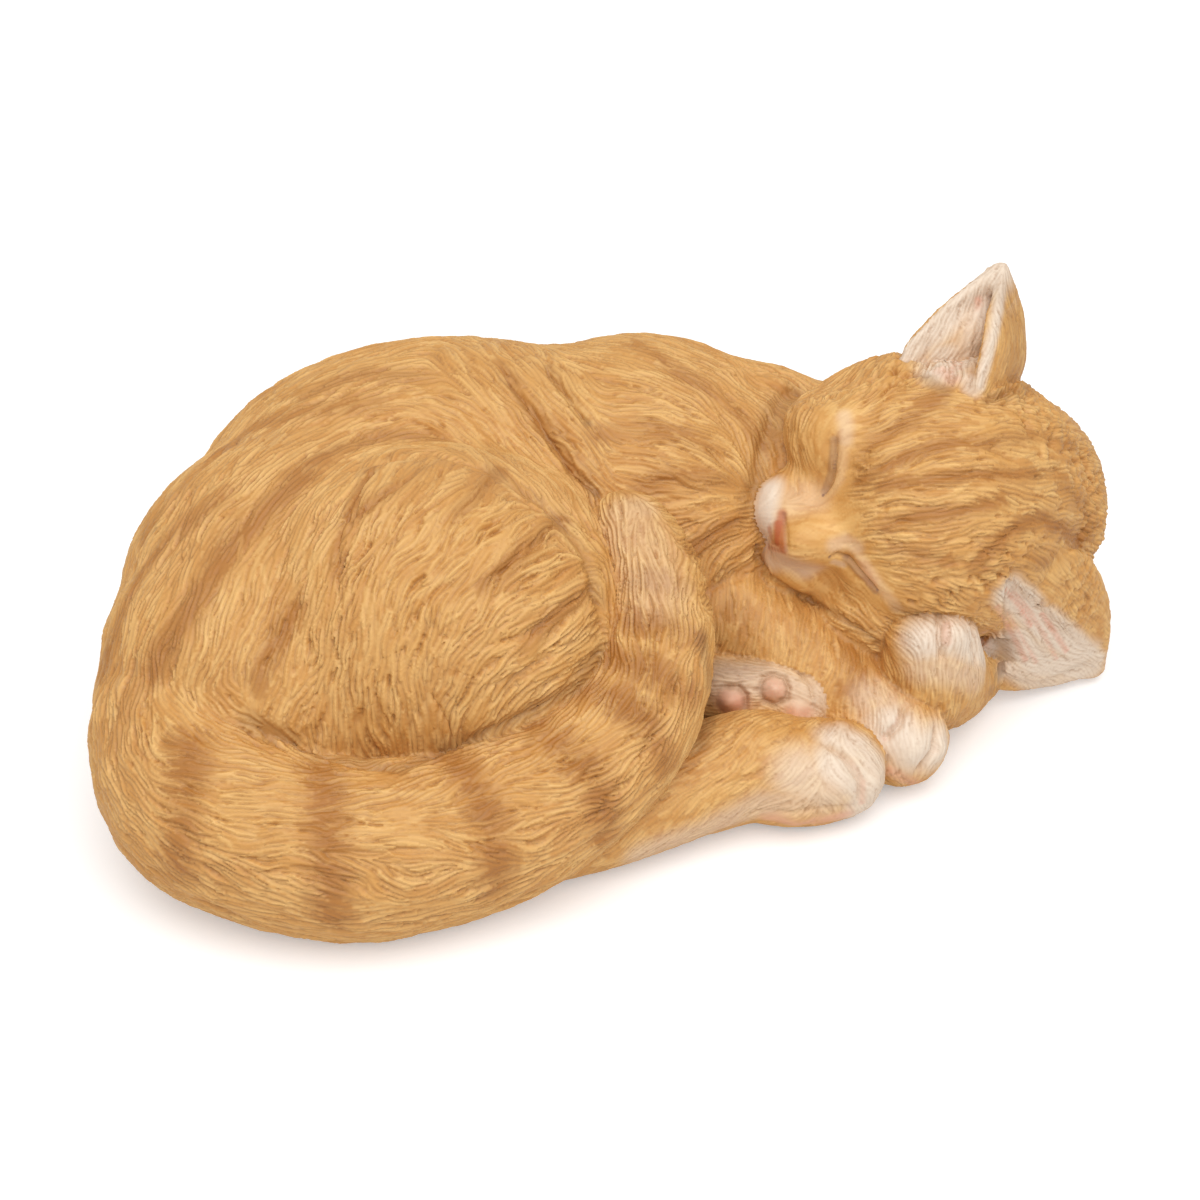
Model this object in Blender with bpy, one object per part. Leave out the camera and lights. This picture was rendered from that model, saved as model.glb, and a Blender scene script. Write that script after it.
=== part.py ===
"""Sleeping cat figurine: hollow resin castings, bonded and pinned, on a base plate with felt pads."""

import math
from collections import namedtuple

import bmesh
import bpy
from mathutils import Matrix, Vector
from mathutils.bvhtree import BVHTree

# All sizes below are millimetres; the model itself is in metres.
MM = 0.001

# A mass is an ellipsoid: its centre and its three half-axes.
Mass = namedtuple("Mass", "centre radii")
# A station is a point on the centre line of a limb or of the tail, with the radius there.
Station = namedtuple("Station", "point radius")
# An ear is a cupped sheet: its outer, rear and inner corners on the skull, and its tip.
Ear = namedtuple("Ear", "outer rear inner tip")
# A grade says how finely a form is worked: grid size, rounds of softening, number of triangles.
Grade = namedtuple("Grade", "voxel passes triangles")

# Trunk, lying on its left side with the spine along the far side
HIPS = Mass((-43, 44, 47), (79, 48, 58))
LOIN = Mass((-64, 33, 45), (59, 47, 54))
RUMP = Mass((-88, -18, 40), (53, 46, 46))
CROUP = Mass((-79, 7, 44), (59, 54, 52))
HAUNCH = Mass((-46, -15, 56), (56, 47, 49))
WAIST = Mass((-8, 45, 45), (50, 50, 56))
RIBS = Mass((12, 50, 45), (54, 50, 57))
SHOULDER = Mass((40, 54, 43), (48, 44, 48))
NECK = Mass((70, 56, 41), (44, 39, 41))

# Tail, from its root round the front to the tip
TAIL = (
    Station((-113, -40, 33), 29),
    Station((-105, -64, 28), 26.5),
    Station((-68, -77, 23.5), 24.5),
    Station((-33, -68, 24), 23),
    Station((-9, -57, 31), 21),
    Station((9, -44, 43), 18),
    Station((16, -29, 59), 15.5),
    Station((13, -13, 72), 13.8),
    Station((8, -4, 77.5), 12.0),
)

# Head: its place, where the nose points and where the crown points
HEAD_CENTRE = (98, 31, 65)
HEAD_FORWARD = (-0.832, -0.551, 0.056)
HEAD_CROWN = (0.528, -0.761, 0.376)
# Forms of the head in its own axes: x to the nose, y to its left cheek, z to the crown
SKULL = Mass((-1, 1, 2), (42, 41, 35))
RUFF = Mass((-26, 9, -7), (33, 34, 32))
CHEEK = Mass((16, 26, -6), (26, 20, 21))
BROW = Mass((21, 16, 13), (14, 12, 10))
MUZZLE = Mass((41, 7.5, -13), (13, 11, 10.5))
NOSE_BRIDGE = Mass((36, 0, -2), (19, 9.5, 10.5))
NOSE = Mass((50, 0, -6), (5, 6.5, 5.5))
CHIN = Mass((39, 0, -20), (9, 9, 7))
EAR_UPPER = Ear((10, -40.5, 1), (-28, -34, 8), (-1, -34, 22.5), (-27, -64, 9))
EAR_LOWER = Ear((2, 54, 4), (-37, 33, 20), (3, 15, 33), (-46, 67, 6))
EAR_WALL = 3.2
EAR_ROOT = 0.22

# Legs and feet
LEG_STRETCHED = (
    Station((26, 20, 40), 21),
    Station((46, 9, 33), 17.5),
    Station((66, -2, 23.5), 15.5),
    Station((76, -9, 18), 14.8),
    Station((86, -17, 15), 14.5),
)
LEG_UNDER_CHEEK = (
    Station((112, 24, 13), 12),
    Station((99.5, 8, 17), 15.2),
    Station((96, -2, 28), 15.3),
    Station((94.5, -3, 39), 14.2),
)
FOOT_NEAR = (
    Station((-24, -65, 14), 12),
    Station((3, -54, 15), 13),
    Station((26, -40, 16.5), 15),
    Station((42, -33, 17), 16),
    Station((56, -33, 14.5), 15.5),
    Station((66.5, -31, 14.5), 14.8),
)
FOOT_FAR = (
    Station((-10, 10, 26), 13),
    Station((15, 0, 21), 13),
    Station((40, -6, 24), 13),
    Station((58, -8, 23), 12.5),
)

# Walls and fits
WALL = 7.0
BOND_GAP = 0.3
# The waist joint is upright: a point on it and the way it faces
WAIST_JOINT = (-5, 45, 50)
WAIST_FACING = (0.95, 0.32, 0.0)
HEAD_DRAIN_RADIUS = 13.0

# Underside
PAD_THICKNESS = 1.5
PAD_RADIUS = 7.0
PLATE_THICKNESS = 4.0
VENT_RADIUS = 7.0
VENT_LIP = 3.0
VENT_LIP_THICKNESS = 1.0
VENT_TOP = 2.0

# Steel pins
PIN_RADIUS = 1.6
PIN_LENGTH = 22.0
DOWEL_RADIUS = 1.5
DOWEL_LENGTH = 16.0
HEAD_PIN_LENGTH = 11.0
HEAD_PIN_SPREAD = 20.0

# How finely each kind of form is worked
TRUNK_GRADE = Grade(3.0, 14, 2400)
CORE_GRADE = Grade(4.0, 6, 800)
HEAD_GRADE = Grade(1.8, 5, 1700)
SKULL_CORE_GRADE = Grade(4.0, 6, 360)
TAIL_GRADE = Grade(2.5, 8, 800)
LIMB_GRADE = Grade(2.0, 6, 500)
EAR_GRADE = Grade(1.1, 3, 320)
SOFTEN_FACTOR = 0.5
MASS_SUBDIVISION_COUNT = 5
BEAD_SUBDIVISION_COUNT = 3
BEADS_PER_SPAN = 8
EAR_STEPS = 14
EAR_TAPER = 1.7
EAR_TIP_SPREAD = 0.06
PIN_SIDES = 12
DISC_SIDES = 28
SHARP_ANGLE = math.radians(40)
FAR = 400.0


def scaled(triple):
    return Vector(triple) * MM


def clear_scene():
    for item in list(bpy.data.objects):
        bpy.data.objects.remove(item, do_unlink=True)


def body_from(name, bm):
    mesh = bpy.data.meshes.new(name)
    bm.to_mesh(mesh)
    bm.free()
    body = bpy.data.objects.new(name, mesh)
    bpy.context.scene.collection.objects.link(body)
    return body


def settle(body):
    """Replace a body's mesh by the one its modifiers make."""
    bpy.context.view_layer.update()
    graph = bpy.context.evaluated_depsgraph_get()
    made = bpy.data.meshes.new_from_object(body.evaluated_get(graph))
    worn = body.data
    body.modifiers.clear()
    body.data = made
    bpy.data.meshes.remove(worn)


def twin(body, name):
    copy = bpy.data.objects.new(name, body.data.copy())
    bpy.context.scene.collection.objects.link(copy)
    return copy


def discard(*bodies):
    for body in bodies:
        bpy.data.objects.remove(body, do_unlink=True)


def combine(body, tool, operation):
    """Cut a body by a tool, join the two, or keep what they share."""
    step = body.modifiers.new(operation, "BOOLEAN")
    step.operation = operation
    step.solver = "EXACT"
    step.object = tool
    settle(body)


def keep_largest(body):
    """Drop the crumbs that a cut leaves beside the main solid."""
    bm = bmesh.new()
    bm.from_mesh(body.data)
    todo = set(bm.verts)
    islands = []
    while todo:
        front = [todo.pop()]
        island = set(front)
        while front:
            vert = front.pop()
            for edge in vert.link_edges:
                other = edge.other_vert(vert)
                if other not in island:
                    island.add(other)
                    front.append(other)
        todo -= island
        islands.append(island)
    main = max(islands, key=len)
    bmesh.ops.delete(bm, geom=[v for v in bm.verts if v not in main], context="VERTS")
    bm.to_mesh(body.data)
    bm.free()


def grown(body, amount):
    """A copy of a body, moved outward all over by so many millimetres."""
    copy = twin(body, body.name + "_grown")
    push = copy.modifiers.new("push", "DISPLACE")
    push.mid_level = 0.0
    push.strength = amount * MM
    settle(copy)
    return copy


def cut_by(body, neighbours):
    """Cut a body back from its neighbours, leaving the bond line."""
    for neighbour in neighbours:
        tool = grown(neighbour, BOND_GAP)
        combine(body, tool, "DIFFERENCE")
        discard(tool)
    keep_largest(body)


def add_mass(bm, mass, frame=Matrix.Identity(4), less=0.0):
    half_axes = [(r - less) * MM for r in mass.radii]
    place = frame @ Matrix.Translation(scaled(mass.centre)) @ Matrix.Diagonal((*half_axes, 1.0))
    bmesh.ops.create_icosphere(bm, subdivisions=MASS_SUBDIVISION_COUNT, radius=1.0, matrix=place)


def spline(before, start, end, after, t):
    """Catmull-Rom value between start and end."""
    return 0.5 * (2 * start + (end - before) * t + (2 * before - 5 * start + 4 * end - after) * t * t
                  + (3 * start - before - 3 * end + after) * t ** 3)


def add_limb(bm, stations):
    """A row of close spheres along a smooth curve through the stations."""
    last = len(stations) - 1
    for i in range(last):
        row = [stations[max(0, min(last, i + k))] for k in (-1, 0, 1, 2)]
        for step in range(BEADS_PER_SPAN + (i == last - 1)):
            t = step / BEADS_PER_SPAN
            point = spline(*[Vector(s.point) for s in row], t)
            radius = spline(*[s.radius for s in row], t)
            place = Matrix.Translation(point * MM) @ Matrix.Scale(radius * MM, 4)
            bmesh.ops.create_icosphere(bm, subdivisions=BEAD_SUBDIVISION_COUNT, radius=1.0, matrix=place)


def clay(name, bm, grade):
    """Merge the overlapping solids of bm into one smooth closed body."""
    body = body_from(name, bm)
    merge = body.modifiers.new("merge", "REMESH")
    merge.mode = "VOXEL"
    merge.voxel_size = grade.voxel * MM
    soften = body.modifiers.new("soften", "SMOOTH")
    soften.factor = SOFTEN_FACTOR
    soften.iterations = grade.passes
    settle(body)
    lighten = body.modifiers.new("lighten", "DECIMATE")
    lighten.ratio = min(1.0, grade.triangles / (2 * len(body.data.polygons)))
    lighten.use_collapse_triangulate = True
    settle(body)
    keep_largest(body)
    return body


def box(name, low, high, frame=Matrix.Identity(4)):
    low, high = scaled(low), scaled(high)
    bm = bmesh.new()
    place = frame @ Matrix.Translation((low + high) / 2) @ Matrix.Diagonal((*(high - low), 1.0))
    bmesh.ops.create_cube(bm, size=1.0, matrix=place)
    return body_from(name, bm)


def cylinder(name, radius, start, end, sides):
    """A round bar from start to end, both in metres."""
    axis = end - start
    turn = axis.to_track_quat("Z", "Y").to_matrix().to_4x4()
    bm = bmesh.new()
    bmesh.ops.create_cone(bm, cap_ends=True, segments=sides, radius1=radius * MM, radius2=radius * MM,
                          depth=axis.length, matrix=Matrix.Translation((start + end) / 2) @ turn)
    return body_from(name, bm)


def surface_point(body, start, towards):
    """Where a straight line from start first meets a body; both points in metres."""
    tree = BVHTree.FromObject(body, bpy.context.evaluated_depsgraph_get())
    hit = tree.ray_cast(start, (towards - start).normalized())[0]
    return hit


def floor_height():
    return PAD_THICKNESS + BOND_GAP


def head_frame():
    forward = Vector(HEAD_FORWARD).normalized()
    left = Vector(HEAD_CROWN).cross(forward).normalized()
    crown = forward.cross(left)
    turn = Matrix((forward, left, crown)).transposed().to_4x4()
    return Matrix.Translation(scaled(HEAD_CENTRE)) @ turn


def waist_frame():
    """Axes of the waist joint: x across the joint, z up."""
    across = Vector(WAIST_FACING).normalized()
    up = Vector((0, 0, 1))
    turn = Matrix((across, up.cross(across), up)).transposed().to_4x4()
    return Matrix.Translation(scaled(WAIST_JOINT)) @ turn


def both_sides(mass):
    x, y, z = mass.centre
    return mass, Mass((x, -y, z), mass.radii)


def trunk_form(name, less, grade):
    bm = bmesh.new()
    for mass in (HIPS, CROUP, LOIN, RUMP, HAUNCH, WAIST, RIBS, SHOULDER, NECK):
        add_mass(bm, mass, less=less)
    return clay(name, bm, grade)


def head_form(name, less, grade):
    bm = bmesh.new()
    frame = head_frame()
    for mass in (SKULL, RUFF, NOSE_BRIDGE, NOSE, CHIN, *both_sides(CHEEK), *both_sides(BROW), *both_sides(MUZZLE)):
        add_mass(bm, mass, frame, less)
    return clay(name, bm, grade)


def limb_form(name, stations, grade):
    bm = bmesh.new()
    add_limb(bm, stations)
    return clay(name, bm, grade)


def ear_form(name, ear):
    """A cupped sheet that narrows from a bowed root on the skull to the tip."""
    frame = head_frame()
    outer, rear, inner, tip = (frame @ scaled(corner) for corner in ear)
    control = 2 * rear - (outer + inner) / 2
    middle = (outer + 2 * rear + inner) / 4
    bm = bmesh.new()
    grid = []
    for j in range(EAR_STEPS + 1):
        v = -EAR_ROOT + (1 + EAR_ROOT) * j / EAR_STEPS
        spread = max(1 - max(v, 0.0) ** EAR_TAPER, EAR_TIP_SPREAD)
        line = []
        for i in range(EAR_STEPS + 1):
            u = i / EAR_STEPS
            root = (1 - u) ** 2 * outer + 2 * u * (1 - u) * control + u * u * inner
            line.append(bm.verts.new(middle.lerp(tip, v) + (root - middle) * spread))
        grid.append(line)
    for low, high in zip(grid, grid[1:]):
        for i in range(EAR_STEPS):
            bm.faces.new((low[i], low[i + 1], high[i + 1], high[i]))
    sheet = body_from(name, bm)
    thicken = sheet.modifiers.new("thicken", "SOLIDIFY")
    thicken.thickness = EAR_WALL * MM
    thicken.offset = 0.0
    settle(sheet)
    bm = bmesh.new()
    bm.from_mesh(sheet.data)
    bmesh.ops.recalc_face_normals(bm, faces=bm.faces[:])
    discard(sheet)
    return clay(name, bm, EAR_GRADE)


def level_off(bodies):
    """Cut everything off flat at the height of the underside."""
    below = box("below", (-FAR, -FAR, -FAR), (FAR, FAR, floor_height()))
    for body in bodies:
        combine(body, below, "DIFFERENCE")
        keep_largest(body)
    discard(below)


def split_trunk(trunk):
    """The two halves of the trunk, a bond line apart at the waist."""
    half = BOND_GAP / 2
    frame = waist_frame()
    halves = []
    for name, low, high in (("hindquarters_shell", -FAR, -half), ("forequarters_shell", half, FAR)):
        keep = box("keep", (low, -FAR, -FAR), (high, FAR, FAR), frame)
        body = twin(trunk, name)
        combine(body, keep, "INTERSECT")
        discard(keep)
        halves.append(body)
    return halves


def hollow_head(head):
    """Empty the skull and open it where it sits on the neck."""
    bm = bmesh.new()
    add_mass(bm, SKULL, head_frame(), less=WALL)
    core = clay("head_core", bm, SKULL_CORE_GRADE)
    combine(head, core, "DIFFERENCE")
    discard(core)
    drain = cylinder("drain", HEAD_DRAIN_RADIUS, scaled(HEAD_CENTRE), scaled(NECK.centre), DISC_SIDES)
    combine(head, drain, "DIFFERENCE")
    discard(drain)


def pin_between(name, bodies, middle, axis, radius, length):
    """A steel pin with its middle on a joint, and its holes in the pieces that it joins."""
    half = axis.normalized() * length * MM / 2
    ease = axis.normalized() * BOND_GAP * MM
    hole = cylinder("hole", radius + BOND_GAP, middle - half - ease, middle + half + ease, PIN_SIDES)
    for body in bodies:
        combine(body, hole, "DIFFERENCE")
        keep_largest(body)
    discard(hole)
    return cylinder(name, radius, middle - half, middle + half, PIN_SIDES)


def base_parts(core):
    """The plate that closes the underside, its rubber bung and the felt pads."""
    floor = floor_height()
    plate = grown(core, -BOND_GAP)
    plate.name = "base_plate"
    slab = box("slab", (-FAR, -FAR, floor), (FAR, FAR, floor + PLATE_THICKNESS))
    combine(plate, slab, "INTERSECT")
    discard(slab)
    keep_largest(plate)
    x, y, _ = HIPS.centre
    top = floor + PLATE_THICKNESS + VENT_TOP
    vent = cylinder("vent", VENT_RADIUS, scaled((x, y, 0)), scaled((x, y, top)), DISC_SIDES)
    combine(plate, vent, "DIFFERENCE")
    discard(vent)
    lip_top = floor - BOND_GAP
    lip_foot = lip_top - VENT_LIP_THICKNESS
    plug = cylinder("vent_plug", VENT_RADIUS - BOND_GAP, scaled((x, y, lip_top - VENT_LIP_THICKNESS / 2)),
                    scaled((x, y, top)), DISC_SIDES)
    lip = cylinder("lip", VENT_RADIUS + VENT_LIP, scaled((x, y, lip_foot)), scaled((x, y, lip_top)), DISC_SIDES)
    combine(plug, lip, "UNION")
    discard(lip)
    pads = []
    for name, spot in (("felt_pad_tail", TAIL[2].point), ("felt_pad_foot", FOOT_NEAR[4].point),
                       ("felt_pad_croup", CROUP.centre), ("felt_pad_ribs", RIBS.centre)):
        foot = scaled((spot[0], spot[1], 0))
        pads.append(cylinder(name, PAD_RADIUS, foot, foot + scaled((0, 0, PAD_THICKNESS)), DISC_SIDES))
    return [plate, plug, *pads]


def painted(bodies, name, colour, roughness, metallic=0.0):
    for body in bodies:
        material = bpy.data.materials.new(body.name + "_" + name)
        material.use_nodes = True
        shader = material.node_tree.nodes["Principled BSDF"]
        shader.inputs["Base Color"].default_value = (*colour, 1.0)
        shader.inputs["Roughness"].default_value = roughness
        shader.inputs["Metallic"].default_value = metallic
        body.data.materials.clear()
        body.data.materials.append(material)
        body.data.shade_smooth()
        body.data.set_sharp_from_angle(angle=SHARP_ANGLE)


def joint_pin(name, bodies, carrier, inside, towards, length):
    """A pin on the line between two points, set where that line leaves the piece that carries it."""
    middle = surface_point(carrier, scaled(inside), scaled(towards))
    return pin_between(name, bodies, middle, scaled(towards) - scaled(inside), PIN_RADIUS, length)


def waist_dowels(trunk, core, halves):
    """Two dowels in the middle of the wall, above and behind the hollow."""
    frame = waist_frame()
    middle = frame.translation
    dowels = []
    for name, lean in (("waist_dowel_top", 0.0), ("waist_dowel_back", 70.0)):
        tilt = math.radians(lean)
        outward = frame.to_3x3() @ Vector((0, math.sin(tilt), math.cos(tilt)))
        reach = [surface_point(body, middle, middle + outward) for body in (trunk, core)]
        spot = (reach[0] + reach[1]) / 2
        dowels.append(pin_between(name, halves, spot, frame.col[0].to_3d(), DOWEL_RADIUS, DOWEL_LENGTH))
    return dowels


def head_pins(head_solid, head, forequarters):
    """Two pins beside the drain, square to the neck seat."""
    centre, neck = scaled(HEAD_CENTRE), scaled(NECK.centre)
    axis = (neck - centre).normalized()
    aside = axis.cross(Vector((0, 0, 1))).normalized() * HEAD_PIN_SPREAD * MM
    pins = []
    for name, offset in (("head_pin_near", aside), ("head_pin_far", -aside)):
        spot = surface_point(head_solid, centre + offset, neck + offset)
        pins.append(pin_between(name, (head, forequarters), spot, axis, PIN_RADIUS, HEAD_PIN_LENGTH))
    return pins


def centre(bodies):
    """Hang every piece on one empty, with the middle of the underside at the origin."""
    corners = [body.matrix_world @ vert.co for body in bodies for vert in body.data.vertices]
    middle = [(min(c[k] for c in corners) + max(c[k] for c in corners)) / 2 for k in range(2)]
    root = bpy.data.objects.new("figurine", None)
    bpy.context.scene.collection.objects.link(root)
    root.location = (-middle[0], -middle[1], 0.0)
    for body in bodies:
        body.parent = root
    bpy.context.view_layer.update()


def main():
    clear_scene()
    trunk = trunk_form("trunk", 0.0, TRUNK_GRADE)
    core = trunk_form("core", WALL, CORE_GRADE)
    head = head_form("head_shell", 0.0, HEAD_GRADE)
    tail = limb_form("tail", TAIL, TAIL_GRADE)
    leg_stretched = limb_form("front_leg_stretched", LEG_STRETCHED, LIMB_GRADE)
    leg_cheek = limb_form("front_leg_under_cheek", LEG_UNDER_CHEEK, LIMB_GRADE)
    foot_near = limb_form("hind_foot_near", FOOT_NEAR, LIMB_GRADE)
    foot_far = limb_form("hind_foot_far", FOOT_FAR, LIMB_GRADE)
    ears = [ear_form("ear_upper", EAR_UPPER), ear_form("ear_lower", EAR_LOWER)]

    # Each smaller casting is cut back from the larger ones that it lies against.
    cut_by(tail, (trunk, head))
    cut_by(leg_stretched, (trunk, head, tail))
    cut_by(foot_near, (trunk, tail, leg_stretched))
    cut_by(foot_far, (trunk, tail, leg_stretched, foot_near))
    cut_by(leg_cheek, (trunk, head, leg_stretched))
    for ear in ears:
        cut_by(ear, (head, leg_cheek, trunk))

    # The trunk is dished for the head, hollowed and split at the waist.
    head_solid = twin(head, "head_solid")
    solid_trunk = twin(trunk, "solid_trunk")
    cut_by(trunk, (head,))
    seat = head_form("seat", -WALL, CORE_GRADE)
    cut_by(core, (seat,))
    hollow_head(head)
    halves = split_trunk(trunk)
    for half in halves:
        combine(half, core, "DIFFERENCE")
        keep_largest(half)
    hindquarters, forequarters = halves
    castings = [hindquarters, forequarters, head, tail, leg_stretched, leg_cheek, foot_near, foot_far, *ears]
    level_off(castings)

    plate, plug, *pads = base_parts(core)
    pins = waist_dowels(solid_trunk, core, halves)
    pins += head_pins(head_solid, head, forequarters)
    # A pin into the skull is short, so that its hole ends inside the wall.
    for name, length, bodies, carrier, inside, towards in (
            ("tail_root_pin", PIN_LENGTH, (tail, hindquarters), solid_trunk, RUMP.centre, TAIL[1].point),
            ("tail_tip_pin", PIN_LENGTH, (tail, hindquarters), solid_trunk, HAUNCH.centre, TAIL[-3].point),
            ("stretched_leg_pin", PIN_LENGTH, (leg_stretched, forequarters), solid_trunk,
             RIBS.centre, LEG_STRETCHED[1].point),
            ("cheek_leg_pin", HEAD_PIN_LENGTH, (leg_cheek, head), head_solid,
             HEAD_CENTRE, LEG_UNDER_CHEEK[2].point),
            ("near_foot_pin", PIN_LENGTH, (foot_near, tail), tail, TAIL[4].point, FOOT_NEAR[1].point),
            ("far_foot_pin", PIN_LENGTH, (foot_far, hindquarters), solid_trunk,
             HAUNCH.centre, FOOT_FAR[1].point)):
        pins.append(joint_pin(name, bodies, carrier, inside, towards, length))

    discard(trunk, core, seat, head_solid, solid_trunk)
    painted(castings, "ginger_paint", (0.60, 0.33, 0.12), 0.6)
    painted([plate], "resin", (0.45, 0.40, 0.33), 0.7)
    painted([plug], "rubber", (0.04, 0.04, 0.04), 0.7)
    painted(pads, "felt", (0.10, 0.08, 0.06), 0.95)
    painted(pins, "steel", (0.55, 0.55, 0.56), 0.35, 1.0)
    centre([*castings, plate, plug, *pads, *pins])


main()
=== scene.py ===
"""Looks of the sleeping cat figurine: one carved and hand-painted coat of fur over its castings.

The castings are fused into one skin. Folds, eyes, nose and toes are carved into it along strokes drawn in
the photograph's frame, locks of hair are laid over it along a flow field, and paint masks colour it. Then
it is split again into one piece for each casting.
"""
import math
from collections import namedtuple

import bmesh
import bpy
import numpy as np
from mathutils import Matrix, Vector, noise
from mathutils.bvhtree import BVHTree
from mathutils.kdtree import KDTree


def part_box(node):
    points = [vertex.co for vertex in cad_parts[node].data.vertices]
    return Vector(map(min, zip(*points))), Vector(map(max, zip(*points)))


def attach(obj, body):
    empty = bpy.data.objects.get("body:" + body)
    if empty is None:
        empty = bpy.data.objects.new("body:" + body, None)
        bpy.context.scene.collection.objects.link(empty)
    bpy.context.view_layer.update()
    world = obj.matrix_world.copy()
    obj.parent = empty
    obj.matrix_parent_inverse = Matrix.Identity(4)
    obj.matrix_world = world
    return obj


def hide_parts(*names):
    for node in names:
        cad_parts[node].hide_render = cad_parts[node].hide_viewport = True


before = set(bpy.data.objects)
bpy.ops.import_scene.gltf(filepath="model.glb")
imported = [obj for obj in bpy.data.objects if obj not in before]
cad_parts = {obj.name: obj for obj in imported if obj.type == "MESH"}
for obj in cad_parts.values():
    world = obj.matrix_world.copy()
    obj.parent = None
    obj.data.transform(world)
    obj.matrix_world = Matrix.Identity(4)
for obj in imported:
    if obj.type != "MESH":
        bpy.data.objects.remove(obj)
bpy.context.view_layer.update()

MM = 0.001

# Camera at the photograph's viewing angle, and the frame that the guide strokes are drawn in.
CAMERA_TARGET = np.array((-5.43, 2.15, 50.0)) * MM
CAMERA_ELEVATION = math.radians(36.0)
CAMERA_DISTANCE = 0.857
LENS = 90.0
SENSOR = 36.0
FRAME_PIXELS = 1200
PIXELS_PER_TAN = FRAME_PIXELS * LENS / SENSOR
VIEW = np.array((0.0, math.cos(CAMERA_ELEVATION), -math.sin(CAMERA_ELEVATION)))
VIEW_UP = np.array((0.0, math.sin(CAMERA_ELEVATION), math.cos(CAMERA_ELEVATION)))
VIEW_RIGHT = np.array((1.0, 0.0, 0.0))
CAMERA_PLACE = CAMERA_TARGET - VIEW * CAMERA_DISTANCE

# Skin: how far each casting is grown so that the bonded joints close, and the sizes of the voxels.
GROWTH = 0.25 * MM
TRUNK_VOXEL = 2.0 * MM
LIMB_VOXEL = 1.2 * MM
SKIN_VOXEL = 0.86 * MM
UNDERSIDE = 1.8 * MM

# Height over the underside within which the hair fades out.
UNDERSIDE_FADE = 3 * MM

# Ball of clay that fills the crease where the tail leaves the rump: centre and radius in mm.
RUMP_FILL = ((-118.9, -27.3, 35.0), 28.0)

# The tail's hair and paint belong to the trunk's up to here along X.
TAIL_ROOT = -92.0 * MM

# Casting: name of its piece of fur; spacing of its strands, length of its locks and height of its hair in mm.
COATS = {
    "hindquarters_shell": ("hindquarters_fur", 1.70, 22.0, 0.50),
    "forequarters_shell": ("forequarters_fur", 1.55, 22.0, 0.42),
    "head_shell": ("head_fur", 1.45, 14.0, 0.42),
    "tail": ("tail_fur", 1.50, 20.0, 0.52),
    "front_leg_stretched": ("stretched_leg_fur", 1.25, 9.0, 0.26),
    "front_leg_under_cheek": ("cheek_leg_fur", 1.25, 9.0, 0.26),
    "hind_foot_near": ("near_foot_fur", 1.25, 9.0, 0.26),
    "hind_foot_far": ("far_foot_fur", 1.20, 7.0, 0.24),
    "ear_upper": ("upper_ear_fur", 1.20, 9.0, 0.18),
    "ear_lower": ("lower_ear_fur", 1.20, 9.0, 0.18),
}
TRUNK_NODES = ("hindquarters_shell", "forequarters_shell", "base_plate", "vent_plug")
BARE_NODES = ("base_plate", "vent_plug")
NODES = list(COATS) + list(BARE_NODES)
PADS = ("felt_pad_tail", "felt_pad_foot", "felt_pad_croup", "felt_pad_ribs")

# Waver of the hair to either side: angle in radians, and size of the waves in mm.
WAVERS = ((0.40, 10.0), (0.26, 4.0))

# Strands: least spacing, how much it varies and in patches of what size, how much they hold together
# sideways, and how many rounds they take to settle.
LEAST_SPACING = 1.1 * MM
SPACING_SPREAD = 0.35
SPACING_PATCH = 5 * MM
STRAND_HOLD = 0.10
COMB_ROUNDS = 14

# Locks: least length, width in strands, how many lie over one another, in how many steps a lock is laid, how
# far a step reaches along the lock, in steps, and the height where no lock lies.
LEAST_LENGTH = 6 * MM
STRANDS_PER_LOCK = 1.8
LOCK_COVER = 5.0
LOCK_STEPS = 10
STEP_REACH = 0.56
NO_LOCK = -0.25

# Grid that sorts the steps of the locks: weights that make one number of a cell's three, and a shift that
# keeps them positive.
CELL_WEIGHTS = np.array((1 << 20, 1 << 10, 1))
CELL_SHIFT = 512

# Relief in shares of the hair's height: of the strands, more where they are streaked, and of the locks, more
# where the hair is rough. The levels lie on the skin.
STRAND_RELIEF = 0.30
STRAND_STREAK = 1.0
STRAND_LEVEL = 0.65
LOCK_RELIEF = 1.6
LOCK_ROUGH = 0.8
LOCK_LEVEL = 0.5

# Seed of the random draws.
SEED = 11

# Stage: lamp in metres and watts, light of the surroundings, and the floor.
LAMP_PLACE = (0.10, -0.60, 1.35)
LAMP_POWER = 17.0
LAMP_SIZE = 1.6
WORLD_STRENGTH = 0.62
FLOOR_HALF = 8.0
FLOOR_WHITE = (0.85, 0.85, 0.85, 1.0)
FLOOR_GLOW = 0.32

# Felt pads: section from the middle of the lower face round the rim, in shares of radius and thickness, and
# the number of points round the rim.
PAD_SECTION = [(0.0, 0.0), (0.5, 0.0), (0.86, 0.0), (0.95, 0.10), (0.99, 0.30), (1.0, 0.55), (0.98, 0.80),
               (0.93, 0.96), (0.84, 1.0), (0.5, 1.0), (0.0, 1.0)]
PAD_TURNS = 72

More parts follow.
